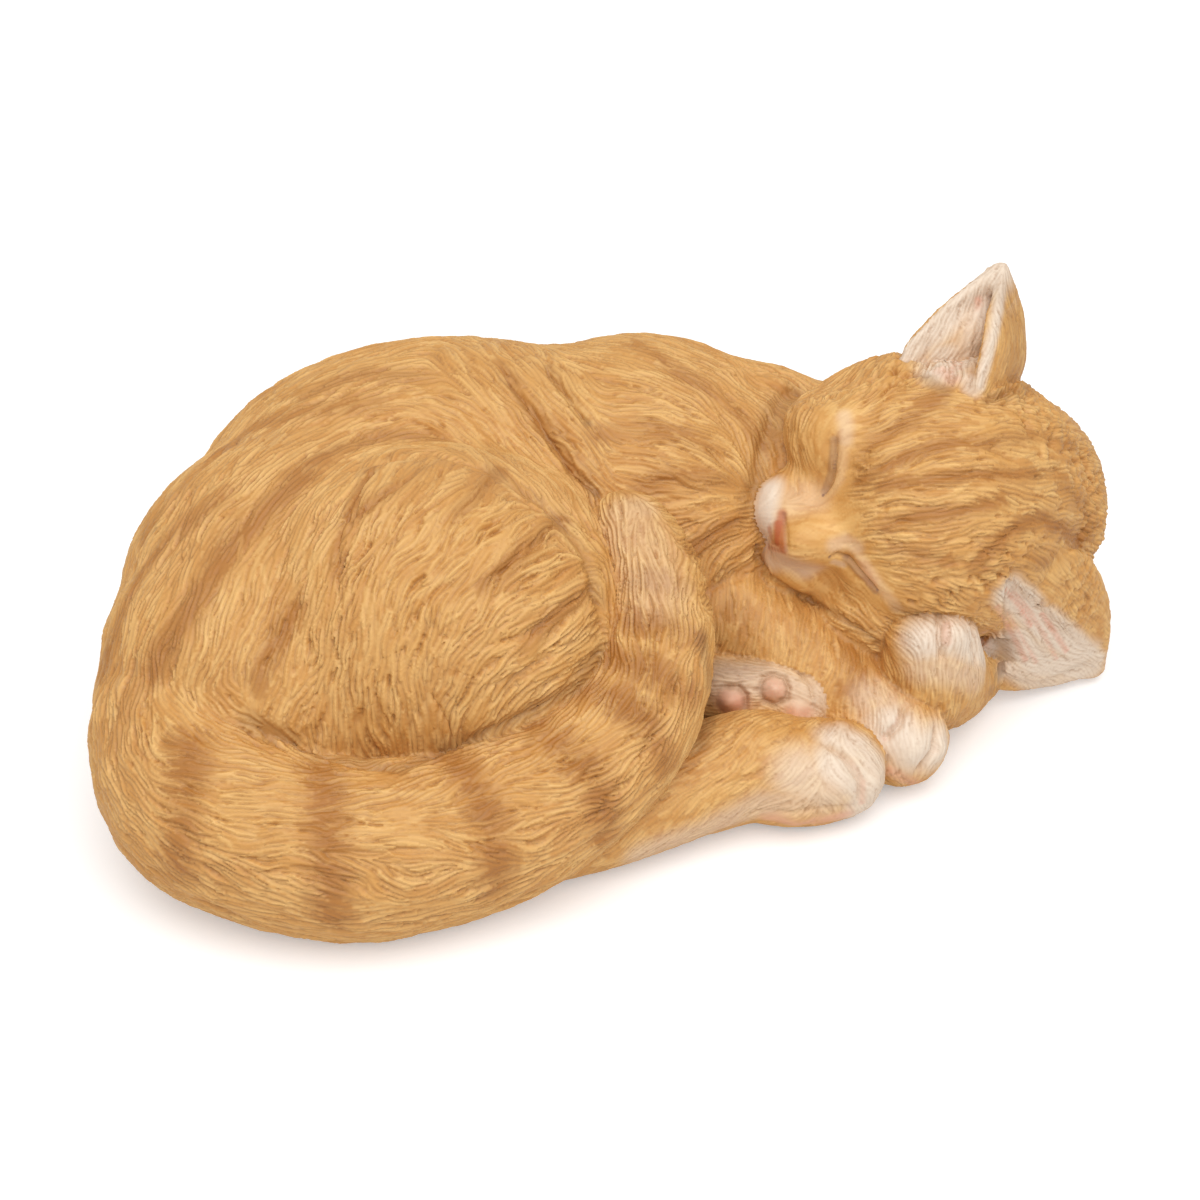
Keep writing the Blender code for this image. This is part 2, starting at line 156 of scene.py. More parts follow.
# Lie of the hair, root to tip, in pixels of the photograph's frame.
HAIR_STROKES = [
    [(420, 352), (352, 372), (290, 402), (240, 440), (190, 485), (150, 545), (125, 605), (110, 665)],
    [(430, 385), (360, 408), (300, 437), (250, 475), (205, 520), (170, 580), (145, 640), (130, 700)],
    [(420, 425), (360, 445), (310, 475), (265, 520), (235, 575), (210, 640), (195, 690)],
    [(380, 470), (345, 510), (325, 560), (305, 620), (285, 680), (270, 720)],
    [(430, 470), (392, 520), (360, 580), (345, 650), (345, 740)],
    [(490, 485), (440, 530), (400, 590), (380, 650), (375, 720), (385, 755)],
    [(545, 520), (490, 560), (440, 610), (410, 670), (415, 730)],
    [(585, 570), (525, 610), (470, 660), (445, 710), (450, 735)],
    [(598, 620), (550, 655), (500, 690), (465, 725)],
    [(190, 690), (235, 725), (290, 750)],
    [(600, 530), (580, 490), (540, 440), (490, 395), (440, 350)],
    [(600, 490), (575, 450), (530, 400), (480, 350)],
    [(580, 540), (530, 480), (470, 430), (410, 400)],
    [(600, 435), (565, 395), (530, 352)],
    [(760, 470), (745, 425), (700, 385), (640, 362), (570, 350)],
    [(745, 470), (710, 440), (660, 425), (600, 420)],
    [(730, 490), (680, 470), (620, 460)],
    [(745, 515), (700, 505), (650, 505)],
    [(752, 505), (715, 525), (680, 550)],
    [(750, 545), (720, 565), (700, 600)],
    [(735, 600), (733, 655)],
    [(765, 605), (763, 660)],
    [(800, 625), (796, 672)],
    [(840, 655), (834, 700)],
    [(875, 690), (880, 735)],
    [(117, 700), (117, 756), (150, 810), (210, 830), (282, 838), (392, 835), (488, 824), (560, 800),
     (620, 765), (655, 715), (655, 650), (640, 590), (630, 530), (630, 505)],
    [(160, 780), (230, 795), (310, 800), (390, 790), (450, 770), (520, 745), (585, 715), (620, 670),
     (615, 600), (618, 540)],
    [(130, 800), (190, 860), (270, 900), (350, 915), (430, 900), (500, 880), (560, 850), (620, 810),
     (665, 760), (685, 700), (680, 640), (665, 580), (650, 530)],
    [(300, 850), (360, 880), (400, 905)],
    [(420, 830), (480, 845), (530, 858)],
    [(520, 800), (575, 800), (620, 795)],
    [(600, 755), (640, 735), (672, 722)],
    [(640, 700), (672, 665), (695, 640)],
    [(655, 640), (675, 590), (690, 565)],
    [(420, 800), (470, 772), (500, 755)],
    [(520, 760), (560, 735), (580, 712)],
    [(600, 700), (612, 668)],
    [(864, 466), (927, 447), (990, 445), (1054, 458), (1092, 479)],
    [(864, 500), (948, 492), (1033, 500), (1085, 515)],
    [(870, 525), (930, 512), (1000, 500), (1060, 505)],
    [(875, 555), (930, 553), (985, 540), (1040, 535), (1085, 550)],
    [(843, 414), (875, 393), (906, 372)],
    [(855, 430), (900, 412), (950, 402), (1000, 410), (1045, 425)],
    [(800, 470), (797, 430), (805, 392)],
    [(820, 470), (820, 430), (835, 395), (862, 372)],
    [(885, 582), (948, 603), (985, 615)],
    [(850, 580), (880, 610), (910, 632)],
    [(820, 580), (835, 605), (860, 625)],
    [(800, 522), (840, 522), (870, 512)],
    [(1000, 400), (1020, 350), (1010, 300)],
    [(950, 385), (965, 340), (990, 290)],
    [(1000, 620), (1040, 640), (1085, 660)],
    [(1030, 560), (1065, 590), (1095, 635)],
    [(760, 730), (720, 765), (670, 805), (620, 840)],
    [(820, 740), (790, 775), (740, 805)],
    [(840, 760), (865, 790)],
    [(740, 680), (790, 685), (815, 700)],
    [(950, 650), (948, 700)],
]

# Lie of the hair where the photograph does not show it: place in mm, and direction.
HIDDEN_HAIR = [
    ((95, 80, 45), (-0.8, 0.6, -0.2)), ((60, 95, 60), (-1, 0.1, 0)), ((60, 98, 25), (-1, 0.1, -0.2)),
    ((10, 100, 70), (-1, 0, 0)), ((10, 100, 25), (-1, 0, -0.2)),
    ((-40, 95, 60), (-1, -0.1, -0.3)), ((-40, 95, 20), (-1, -0.1, -0.3)),
    ((-90, 75, 50), (-0.8, -0.6, -0.3)), ((-90, 75, 15), (-0.8, -0.6, -0.3)),
    ((-125, 35, 55), (-0.5, -0.9, -0.3)), ((-125, 35, 15), (-0.5, -0.9, -0.3)),
    ((-142, -10, 40), (0, -1, -0.3)), ((-140, -10, 15), (0, -1, -0.3)),
    ((-146, -50, 20), (0.1, -1, 0)), ((-120, -90, 12), (0.8, -0.6, 0)), ((-70, -100, 10), (1, 0, 0)),
    ((140, 40, 70), (0.2, 0.9, -0.3)), ((125, 65, 70), (-0.3, 0.9, -0.4)), ((100, 80, 60), (-0.6, 0.7, -0.4)),
    ((140, 30, 40), (0.3, 0.6, -0.7)), ((120, 20, 20), (0.4, 0.2, -0.8)),
]

# Strokes that smooth the skin where two castings run into one another: half width in mm, stroke in pixels.
MERGED = [
    (9.0, [(98, 690), (130, 694), (165, 698), (200, 704)]),
]

# Lower ear: its opening, clockwise in pixels; three places of the plane of its inner face, in pixels with the
# depth in mm from the camera; clay behind that plane, in pixels with depth and thickness. Its last corner
# fills the hollow beside the paw.
EAR_OPENING = [(1003, 570), (1112, 662), (1060, 700), (995, 694)]
EAR_FACE = [((1006, 584), 856.0), ((1098, 662), 899.5), ((1010, 685), 889.0)]
EAR_FILL = [((1005, 583), 855.5, 24.0), ((1058, 626), 880.0, 9.0), ((1090, 658), 896.7, 4.0),
            ((1040, 681), 893.8, 3.0), ((1007, 677), 885.9, 7.0), ((988, 634), 874.0, 14.0)]

# How far from that plane the skin is pressed to it or counts as the ear, and margins inside the opening, in
# pixels.
EAR_PRESS = 20 * MM
EAR_SKIN = 2 * MM
EAR_BLEND = 9
EAR_MARGIN = 3

# Strokes that are both carved and painted, in pixels.
FOREHEAD = [
    [(940, 398), (915, 417), (877, 440), (857, 465)],
    [(994, 442), (960, 442), (925, 450), (887, 465), (858, 482)],
    [(1034, 475), (980, 475), (925, 479), (883, 487)],
    [(1002, 499), (970, 510), (930, 512), (886, 526)],
    [(1080, 540), (1045, 520), (1020, 525), (1000, 540), (980, 556)],
    [(893, 546), (925, 557), (960, 562), (985, 566)],
]
SOLE_GROOVES = [
    [(759, 688), (764, 700), (775, 705), (786, 699), (789, 688), (784, 677), (774, 673), (764, 677),
     (759, 688)],
    [(722, 686), (738, 686), (746, 695), (745, 708)],
    [(800, 674), (811, 686), (814, 702)],
]
SOLE_PADS = [[(773, 689), (776, 690)], [(728, 701), (737, 702)], [(795, 711), (803, 713)]]
MOUTH = [(758, 546), (758, 557), (762, 566), (769, 574)]
SHOULDER_FOLD = [(687, 552), (715, 532), (740, 520)]

# Carving strokes in pixels, with the half width and the depth in mm. A negative depth is a ridge.
CARVING = [
    # folds of the waist
    ([(446, 343), (490, 378), (528, 414), (560, 448), (585, 480)], 1.5, 1.1),
    ([(498, 364), (540, 418), (556, 447), (572, 470), (597, 494)], 1.6, 2.6),
    ([(545, 362), (567, 395), (588, 424)], 1.4, 2.0),
    ([(415, 380), (469, 414), (520, 460)], 1.6, 0.7),
    ([(408, 427), (477, 447), (522, 483), (560, 520)], 1.6, 0.7),
    ([(610, 352), (660, 366), (705, 392), (740, 425)], 1.8, 0.6),
    ([(600, 432), (650, 424), (705, 440), (735, 465)], 1.6, 0.5),
    # round the haunch, between haunch and tail, behind the head, between head and leg
    ([(345, 470), (430, 450), (490, 468), (545, 504), (585, 552), (602, 610), (600, 650)], 2.2, 1.7),
    ([(235, 712), (300, 748), (350, 764), (400, 768), (450, 750), (520, 717), (575, 687)], 2.2, 1.5),
    ([(805, 386), (785, 396), (770, 425), (761, 450), (757, 480), (751, 500)], 2.2, 1.5),
    ([(762, 571), (790, 590), (824, 608), (860, 630), (885, 645)], 1.0, 1.0),
    # single deep grooves in the haunch
    ([(373, 466), (350, 510), (340, 540), (338, 572)], 0.9, 0.9),
    ([(420, 470), (375, 503), (345, 525)], 0.9, 0.9),
    ([(498, 471), (475, 495), (458, 516)], 0.8, 0.7),
    ([(560, 522), (520, 552), (486, 584)], 0.9, 0.9),
    ([(588, 590), (555, 615), (526, 641)], 0.9, 0.9),
    ([(303, 603), (280, 637), (262, 675)], 0.9, 0.6),
    ([(430, 690), (448, 722), (455, 745)], 0.9, 0.9),
    ([(480, 690), (465, 720), (457, 745)], 0.9, 0.8),
    (SHOULDER_FOLD, 1.0, 0.8),
    ([(710, 592), (735, 567)], 1.0, 0.7),
    # closed eyes: slit, upper lid, hollow beside the slit
    ([(836, 434), (836, 452), (835, 470), (831, 483), (823, 495)], 0.7, 1.1),
    ([(843, 428), (843, 452), (841, 474), (834, 491)], 1.3, -0.5),
    ([(829, 440), (828, 458), (825, 476)], 1.6, 0.6),
    ([(829, 558), (838, 554), (848, 557), (856, 566), (868, 581), (877, 590)], 0.7, 1.1),
    ([(836, 547), (850, 549), (862, 561), (875, 577), (884, 590)], 1.3, -0.5),
    ([(844, 564), (854, 574), (866, 586)], 1.6, 0.6),
    # nose and mouth
    ([(783, 512), (786, 530), (787, 552)], 0.8, 0.6),
    ([(775, 520), (777, 545)], 1.8, -0.6),
    ([(768, 535), (762, 543), (757, 548)], 0.6, 0.5),
    (MOUTH, 1.0, 1.4),
    # toes
    ([(906, 702), (899, 725), (882, 741)], 1.2, 2.2),
    ([(938, 724), (934, 750), (916, 774)], 1.2, 2.2),
    ([(938, 610), (940, 640), (943, 664)], 1.2, 2.0),
    ([(972, 620), (975, 645), (977, 666)], 1.2, 1.9),
    ([(820, 738), (845, 757), (860, 780), (861, 806)], 1.3, 2.0),
    ([(770, 812), (805, 810), (840, 806), (862, 806)], 0.8, 0.7),
    # pads and toes of the far foot
    (SOLE_GROOVES[0], 0.8, 1.2), (SOLE_GROOVES[1], 0.8, 1.2), (SOLE_GROOVES[2], 0.9, 1.2),
    # stripes of the forehead
    (FOREHEAD[0], 1.8, 0.5), (FOREHEAD[1], 1.6, 0.6), (FOREHEAD[2], 1.6, 0.6),
    (FOREHEAD[3], 1.6, 0.6), (FOREHEAD[4], 2.0, 0.9), (FOREHEAD[5], 1.6, 0.5),
    # hollow of the lower ear, and ridges of hair in both ears
    ([(1000, 640), (1005, 658), (1006, 670)], 3.0, 2.0),
    ([(1000, 605), (1020, 640), (1030, 660)], 0.8, -0.6),
    ([(1012, 600), (1035, 636), (1050, 660)], 0.8, -0.6),
    ([(1030, 612), (1052, 642), (1072, 664)], 0.8, -0.5),
    ([(990, 296), (980, 345), (970, 388)], 3.5, -2.2),
    ([(978, 300), (974, 340), (968, 382)], 0.8, -0.5),
    ([(968, 308), (963, 345), (957, 382)], 0.8, -0.5),
    ([(990, 300), (985, 345), (976, 392)], 1.0, -0.5),
]

# Round swellings: pixel, radius and height in mm.
SWELLINGS = [
    ((836, 366), 22.0, -8.5), ((962, 345), 12.0, 4.0), ((978, 330), 8.0, 2.5),
    ((827, 460), 7.0, 0.7), ((850, 576), 7.0, 0.7),
    ((888, 722), 6.0, 1.0), ((914, 748), 7.0, 1.6), ((940, 750), 5.0, 1.0),
    ((921, 638), 7.0, 1.5), ((956, 634), 7.0, 2.0), ((985, 648), 5.5, 1.4),
    ((838, 785), 9.0, 1.2), ((872, 784), 7.0, 1.5),
    ((774, 689), 4.2, 2.2), ((730, 701), 4.5, 2.2), ((797, 711), 3.6, 1.4),
    ((795, 818), 6.0, 1.2),
]

# Paint strokes in pixels: half width in mm, strength, stroke. The layers short, deep and rough change the
# hair, not the colour.
PAINT = {
    "stripe": [
        (3.0, 0.55, [(423, 377), (357, 373), (300, 397)]),
        (3.2, 0.65, [(377, 403), (303, 410), (257, 427), (207, 463), (167, 503), (145, 535)]),
        (2.8, 0.75, [(437, 440), (377, 437), (330, 453), (290, 477)]),
        (3.4, 0.75, [(223, 497), (170, 537), (140, 577), (120, 623), (103, 670)]),
        (4.2, 0.85, [(303, 480), (263, 517), (230, 543), (200, 597), (170, 640), (150, 675)]),
        (1.8, 0.90, [(373, 466), (350, 510), (340, 540), (337, 575)]),
        (2.0, 0.90, [(420, 470), (373, 503), (343, 527)]),
        (3.2, 0.80, [(303, 603), (277, 637), (257, 683)]),
        (2.4, 0.85, [(563, 520), (520, 552), (484, 586)]),
        (2.4, 0.85, [(590, 588), (555, 615), (524, 643)]),
        (2.0, 0.75, [(500, 470), (475, 495), (455, 518)]),
        (3.5, 0.50, [(150, 663), (130, 697), (118, 740)]),
        (5.2, 0.95, [(190, 745), (185, 782), (182, 815), (177, 869)]),
        (5.2, 1.0, [(319, 770), (325, 800), (327, 827), (328, 870), (331, 915)]),
        (4.6, 1.0, [(452, 758), (478, 795), (494, 831), (498, 886)]),
        (4.4, 1.0, [(535, 725), (570, 752), (594, 778), (606, 831)]),
        (3.8, 1.0, [(581, 690), (618, 700), (645, 725), (668, 765)]),
        (3.4, 1.0, [(605, 655), (650, 668), (692, 700)]),
        (3.0, 0.90, [(622, 622), (660, 624), (700, 640)]),
        (2.6, 0.60, [(625, 580), (655, 578), (688, 588)]),
        (2.6, 0.75, FOREHEAD[0]), (1.9, 0.90, FOREHEAD[1]), (1.9, 0.90, FOREHEAD[2]),
        (2.0, 0.90, FOREHEAD[3]), (2.6, 0.95, FOREHEAD[4]), (2.0, 0.70, FOREHEAD[5]),
        (2.0, 0.60, [(982, 442), (1032, 435), (1072, 448)]),
        (2.6, 0.60, [(1060, 480), (1080, 505), (1090, 535)]),
        (2.4, 0.60, [(1060, 557), (1030, 563)]),
        (2.6, 0.65, [(640, 345), (680, 372), (715, 395), (742, 417), (760, 440)]),
        (2.6, 0.70, [(595, 437), (635, 427), (680, 435), (715, 450)]),
        (2.8, 0.75, [(640, 488), (670, 477), (715, 477), (747, 485)]),
        (2.2, 0.80, SHOULDER_FOLD),
        (2.2, 0.75, [(707, 596), (735, 567)]),
        (2.6, 0.60, [(500, 366), (540, 418), (585, 475)]),
        (4.5, 0.50, [(740, 610), (745, 650)]),
        (4.0, 0.70, [(845, 640), (858, 668), (850, 690)]),
        (4.0, 0.45, [(900, 680), (890, 655)]),
        (3.5, 0.45, [(800, 600), (808, 640)]),
    ],
    "pale": [
        (4.5, 0.95, [(768, 490), (764, 512), (764, 534)]),
        (4.2, 0.55, [(772, 556), (788, 563), (808, 569)]),
        (5.0, 0.25, [(790, 500), (815, 500)]),
        (2.2, 0.30, [(844, 416), (846, 428), (845, 440)]),
        (1.8, 0.16, [(843, 444), (840, 478), (826, 499)]),
        (2.2, 0.30, [(834, 545), (846, 541), (857, 547)]),
        (1.9, 0.20, [(860, 556), (880, 586), (896, 608)]),
        (1.1, 0.35, [(834, 562), (843, 564)]),
        (7.5, 0.95, [(890, 728), (915, 750), (938, 748)]),
        (6.5, 0.45, [(875, 700), (900, 720)]),
        (6.5, 0.95, [(922, 640), (957, 635), (984, 650)]),
        (6.0, 0.45, [(925, 665), (955, 668), (980, 672)]),
        (7.0, 0.90, [(835, 765), (865, 785), (866, 806)]),
        (6.0, 0.85, [(838, 738), (862, 750), (878, 772), (880, 798)]),
        (8.0, 0.60, [(800, 775), (830, 790)]),
        (5.0, 0.45, [(640, 855), (700, 832), (760, 805), (820, 800)]),
        (6.0, 0.60, [(725, 680), (775, 682), (815, 700)]),
        (6.5, 0.95, [(990, 285), (975, 320), (960, 365), (940, 372)]),
        (5.5, 0.95, [(908, 352), (935, 330), (975, 290), (1000, 272)]),
        (2.0, 0.90, [(1004, 275), (995, 330), (980, 385)]),
        (5.0, 0.24, [(622, 512), (640, 510)]),
        (8.0, 0.20, [(628, 525), (645, 555), (655, 590)]),
    ],
    "pale_across": [
        (3.0, 0.75, [(922, 364), (950, 372), (974, 386)]),
        (4.5, 0.95, [(940, 356), (956, 350), (974, 346)]),
        (5.0, 0.95, [(1005, 588), (1022, 605), (1050, 635), (1085, 655)]),
        (6.0, 0.95, [(1015, 640), (1040, 665), (1085, 668)]),
        (3.0, 0.90, [(1013, 583), (1045, 610), (1080, 643), (1098, 660)]),
        (4.0, 0.80, [(1010, 670), (1035, 682), (1080, 680)]),
    ],
    "blush": [
        (1.2, 0.85, [(978, 300), (975, 325), (971, 355)]),
        (1.0, 0.70, [(970, 318), (966, 345), (960, 372)]),
        (1.0, 0.55, [(961, 330), (957, 355), (950, 378)]),
        (2.4, 0.60, [(942, 374), (952, 380)]),
        (1.0, 0.95, [(1006, 590), (1018, 604), (1030, 624)]),
        (0.9, 0.70, [(1014, 592), (1028, 610), (1044, 634)]),
        (1.0, 0.90, [(1042, 614), (1054, 632), (1066, 650)]),
        (0.8, 0.60, [(1036, 622), (1048, 642), (1056, 658)]),
        (1.0, 0.80, [(997, 606), (1010, 630), (1026, 660)]),
        (0.8, 0.60, [(1006, 612), (1020, 636), (1036, 662)]),
        (3.2, 0.80, SOLE_PADS[0]),
        (3.4, 0.80, SOLE_PADS[1]),
        (2.8, 0.70, SOLE_PADS[2]),
        (2.4, 0.60, [(768, 816), (800, 822), (822, 821), (845, 815)]),
        (2.0, 0.70, [(890, 771), (905, 780), (925, 784)]),
        (1.0, 0.55, [(850, 762), (862, 782), (862, 803)]),
        (1.0, 0.70, [(904, 706), (898, 725), (885, 738)]),
        (1.0, 0.35, [(936, 727), (934, 750), (920, 770)]),
        (1.6, 0.45, [(947, 626), (947, 640)]),
        (1.6, 0.45, [(984, 634), (986, 646)]),
        (1.6, 0.25, [(768, 547), (784, 552)]),
        (2.0, 0.35, [(862, 566), (872, 580)]),
    ],
    "nose": [
        (1.5, 1.0, [(779, 524), (778, 542)]),
        (1.4, 0.80, [(782, 514), (780, 528), (782, 549)]),
        (1.3, 0.55, [(770, 530), (773, 541)]),
        (0.8, 0.60, [(769, 547), (784, 552)]),
    ],
    "line": [
        # upper eye: a band of painted shade beside the slit, then the dark slit
        (1.2, 0.50, [(834, 440), (833, 456), (831, 474), (824, 491)]),
        (0.55, 0.95, [(836, 440), (836, 455), (834, 472), (830, 484), (823, 495)]),
        # lower eye: a band of painted shade beside the slit, then the dark slit
        (1.2, 0.50, [(846, 559), (855, 569), (867, 582), (875, 591)]),
        (0.55, 0.95, [(830, 557), (838, 554), (848, 557), (856, 566), (868, 581), (877, 590)]),
        # painted shade along the edge of the nose bridge
        (0.7, 0.40, [(784, 514), (785, 530), (786, 550)]),
        (1.3, 0.50, [(762, 548), (762, 556), (766, 565)]),
        (0.7, 0.95, MOUTH),
    ],
    "shade": [
        (3.5, 0.40, [(800, 390), (775, 410), (762, 450), (757, 480), (750, 500)]),
        (1.2, 0.55, [(764, 573), (790, 590), (824, 608), (860, 630), (885, 645)]),
        (3.0, 0.45, [(250, 722), (320, 756), (400, 768), (450, 748)]),
        (2.6, 0.45, [(450, 748), (520, 717), (575, 687), (600, 650)]),
        (2.0, 0.40, [(490, 466), (545, 504), (585, 552), (600, 600)]),
        (1.4, 0.85, [(512, 382), (556, 447), (572, 470), (596, 493)]),
        (1.2, 0.75, [(548, 366), (567, 395), (588, 424)]),
        (4.0, 0.75, [(998, 640), (1003, 655), (1003, 668)]),
        (2.5, 0.50, [(985, 398), (1005, 395), (1028, 388)]),
        (6.0, 0.35, [(1010, 300), (1018, 345), (1008, 388)]),
        (2.0, 0.45, [(925, 380), (945, 392)]),
        (3.0, 0.45, [(900, 610), (925, 612)]),
        (1.6, 0.50, [(990, 690), (1030, 695)]),
        (3.0, 0.45, [(717, 668), (760, 664)]),
        (0.9, 0.55, SOLE_GROOVES[0]),
        (1.0, 0.60, SOLE_GROOVES[1]),
        (0.8, 0.35, SOLE_GROOVES[2]),
        (2.5, 0.50, [(702, 640), (712, 700), (700, 745)]),
    ],
    "short": [
        (9.0, 1.0, [(762, 495), (757, 520), (770, 558), (812, 580)]),
        (8.0, 1.0, [(785, 525), (835, 522)]),
        (7.0, 1.0, [(838, 420), (832, 470), (825, 495)]),
        (7.0, 1.0, [(830, 557), (856, 568), (880, 595)]),
        (3.0, 1.0, SOLE_PADS[0]),
        (3.4, 1.0, SOLE_PADS[1]),
        (3.0, 1.0, SOLE_PADS[2]),
        (3.0, 1.0, [(768, 818), (800, 823), (845, 817)]),
        (10.0, 0.45, [(825, 765), (868, 790)]),
        (8.0, 0.35, [(895, 730), (930, 755)]),
    ],
    "deep": [
        (22.0, 1.0, [(400, 560), (480, 560), (520, 600), (440, 660), (350, 640)]),
        (14.0, 0.8, [(600, 760), (640, 700), (640, 580)]),
        (10.0, 0.8, [(520, 440), (570, 500)]),
        (10.0, 0.6, [(720, 545), (700, 580)]),
    ],
    "rough": [
        (11.0, 1.0, [(1080, 600), (1090, 530), (1075, 460), (1045, 415), (1010, 395)]),
        (9.0, 0.8, [(1000, 560), (960, 590), (925, 605)]),
        (9.0, 0.9, [(920, 365), (890, 368), (850, 375), (810, 392)]),
        (7.0, 0.8, [(800, 385), (770, 375), (740, 372)]),
    ],
}

# How far a layer's strokes blur, in shares of their half widths, and the layer that runs over several
# castings.
SOFTNESS = {"stripe": 0.9, "pale": 0.7, "pale_across": 0.6, "blush": 0.7, "shade": 0.8, "nose": 0.6}
USUAL_SOFTNESS = 0.5
LAYER_ACROSS = "pale_across"


def ray_of(pixel):
    """Direction of the camera's ray through a pixel of the photograph's frame."""
    middle = FRAME_PIXELS / 2
    across = (pixel[0] - middle) / PIXELS_PER_TAN
    above = (middle - pixel[1]) / PIXELS_PER_TAN
    return VIEW + VIEW_RIGHT * across + VIEW_UP * above


def place_at(pixel, depth):
    """Place behind a pixel at a depth in mm from the camera."""
    return CAMERA_PLACE + ray_of(pixel) * depth * MM


# Meshes as arrays of points and quads.

def mesh_arrays(mesh):
    """Points and quads of a mesh that has only quads."""
    points = np.empty(len(mesh.vertices) * 3, np.float32)
    mesh.vertices.foreach_get("co", points)
    corners = np.empty(len(mesh.loops), np.int32)
    mesh.loops.foreach_get("vertex_index", corners)
    return points.reshape(-1, 3).astype(float), corners.reshape(-1, 4)


def new_mesh(name, points, quads):
    """Mesh made of these points and quads."""
    mesh = bpy.data.meshes.new(name)
    mesh.vertices.add(len(points))
    mesh.vertices.foreach_set("co", points.astype(np.float32).ravel())
    mesh.loops.add(quads.size)
    mesh.loops.foreach_set("vertex_index", quads.astype(np.int32).ravel())
    mesh.polygons.add(len(quads))
    mesh.polygons.foreach_set("loop_start", np.arange(0, quads.size, 4, dtype=np.int32))
    mesh.update(calc_edges=True)
    mesh.validate()
    return mesh


def edges_of(quads, count):
    """Edges of the quads as pairs, and for each quad side, in four runs, the number of its edge."""
    sides = np.concatenate([quads[:, [k, (k + 1) % 4]] for k in range(4)]).astype(np.int64)
    keys = sides.min(axis=1) * count + sides.max(axis=1)
    unique, number = np.unique(keys, return_inverse=True)
    return np.stack([unique // count, unique % count], axis=1), number.reshape(4, -1)


def neighbours_of(quads, count, most=6):
    """Table of each point's neighbours. A short row is filled up with the point itself."""
    edges, _ = edges_of(quads, count)
    pairs = np.concatenate([edges, edges[:, ::-1]])
    pairs = pairs[np.argsort(pairs[:, 0], kind="stable")]
    first = np.searchsorted(pairs[:, 0], np.arange(count))
    rank = np.arange(len(pairs)) - first[pairs[:, 0]]
    table = np.repeat(np.arange(count)[:, None], most, axis=1)
    kept = rank < most
    table[pairs[kept, 0], rank[kept]] = pairs[kept, 1]
    return table


def normals_of(points, quads):
    """Unit normal of each point."""
    corner = points[quads]
    facing = np.cross(corner[:, 2] - corner[:, 0], corner[:, 3] - corner[:, 1])
    total = np.zeros_like(points)
    for axis in range(3):
        for k in range(4):
            total[:, axis] += np.bincount(quads[:, k], facing[:, axis], len(points))
    return unit(total)


def unit(vectors):
    """The vectors at length one."""
    return vectors / np.maximum(np.linalg.norm(vectors, axis=-1, keepdims=True), 1e-12)


def smooth_step(low, high, values):
    """From 0 at low to 1 at high, with soft ends."""
    share = np.clip((values - low) / (high - low), 0, 1)
    return share * share * (3 - 2 * share)


def averaged(field, table, rounds):
    """A field of one or more values for each point, averaged with its neighbours."""
    for _ in range(rounds):
        field = 0.5 * field + 0.5 * field[table].mean(axis=1)
    return field


def smoothed(points, table, rounds):
    """Points smoothed in pairs of steps, in and out, so that the form does not shrink."""
    for _ in range(rounds):
        for step in (0.6, -0.62):
            points = points + step * (points[table].mean(axis=1) - points)
    return points


def subdivided(points, quads, fields):
    """Each quad split in four. The fields take the means of the points that they lie between."""
    count = len(points)
    edges, number = edges_of(quads, count)

    def carried(field):
        """The field with the means on the edges and in the quads."""
        return np.concatenate([field, field[edges].mean(axis=1), field[quads].mean(axis=1)])

    side = count + number
    middle = count + len(edges) + np.arange(len(quads))
    split = [np.stack([quads[:, k], side[k], middle, side[k - 1]], axis=1) for k in range(4)]
    return carried(points), np.concatenate(split), [carried(field) for field in fields]


def clean(form):
    """Weld a form's doubled points and turn its faces outwards."""
    bmesh.ops.remove_doubles(form, verts=form.verts, dist=1e-6)
    bmesh.ops.recalc_face_normals(form, faces=form.faces)


def mesh_of(form, name):
    """Mesh made of a form, which is freed."""
    mesh = bpy.data.meshes.new(name)
    form.to_mesh(mesh)
    form.free()
    return mesh


def linked(name, data):
    """New object of this data in the scene."""
    thing = bpy.data.objects.new(name, data)
    bpy.context.scene.collection.objects.link(thing)
    return thing


# Skin.

def grown_copy(names):
    """Copy of these CAD nodes in one mesh, grown a little, with the clay that is added to them."""
    form = bmesh.new()
    for name in names:
        form.from_mesh(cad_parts[name].data)
    if "hindquarters_shell" in names:
        centre, radius = RUMP_FILL
        place = Matrix.Translation(Vector(centre) * MM)
        bmesh.ops.create_icosphere(form, subdivisions=4, radius=radius * MM, matrix=place)
    if "ear_lower" in names:
        corners = []
        for pixel, depth, thickness in EAR_FILL:
            corners += [place_at(pixel, depth), place_at(pixel, depth + thickness)]
        bmesh.ops.convex_hull(form, input=[form.verts.new(corner) for corner in corners])
    clean(form)
    form.normal_update()
    moves = [vert.normal * GROWTH for vert in form.verts]
    for vert, move in zip(form.verts, moves):
        vert.co += move
    return mesh_of(form, "copy")


def remeshed(mesh, voxel):
    """Points and quads of the mesh's voxel remesh."""
    body = linked("clay", mesh)
    modifier = body.modifiers.new("Remesh", "REMESH")
    modifier.mode = "VOXEL"
    modifier.voxel_size = voxel
    result = body.evaluated_get(bpy.context.evaluated_depsgraph_get()).to_mesh()
    points, quads = mesh_arrays(result)
    body.evaluated_get(bpy.context.evaluated_depsgraph_get()).to_mesh_clear()
    bpy.data.objects.remove(body)
    bpy.data.meshes.remove(mesh)
    return points, quads


def largest_island(points, quads):
    """The largest connected piece: the outer skin, without the hollows inside."""
    table = neighbours_of(quads, len(points))
    label = np.arange(len(points))
    while True:
        lower = label[table].min(axis=1)
        lower = np.minimum(label, lower)[lower]
        if np.array_equal(lower, label):
            break
        label = lower
    main = np.bincount(label).argmax()
    return kept_part(points, quads, (label == main)[quads[:, 0]])[:2]


def kept_part(points, quads, kept):
    """The kept quads with only their points, and the old numbers of those points."""
    used, number = np.unique(quads[kept], return_inverse=True)
    return points[used], number.reshape(-1, 4), used


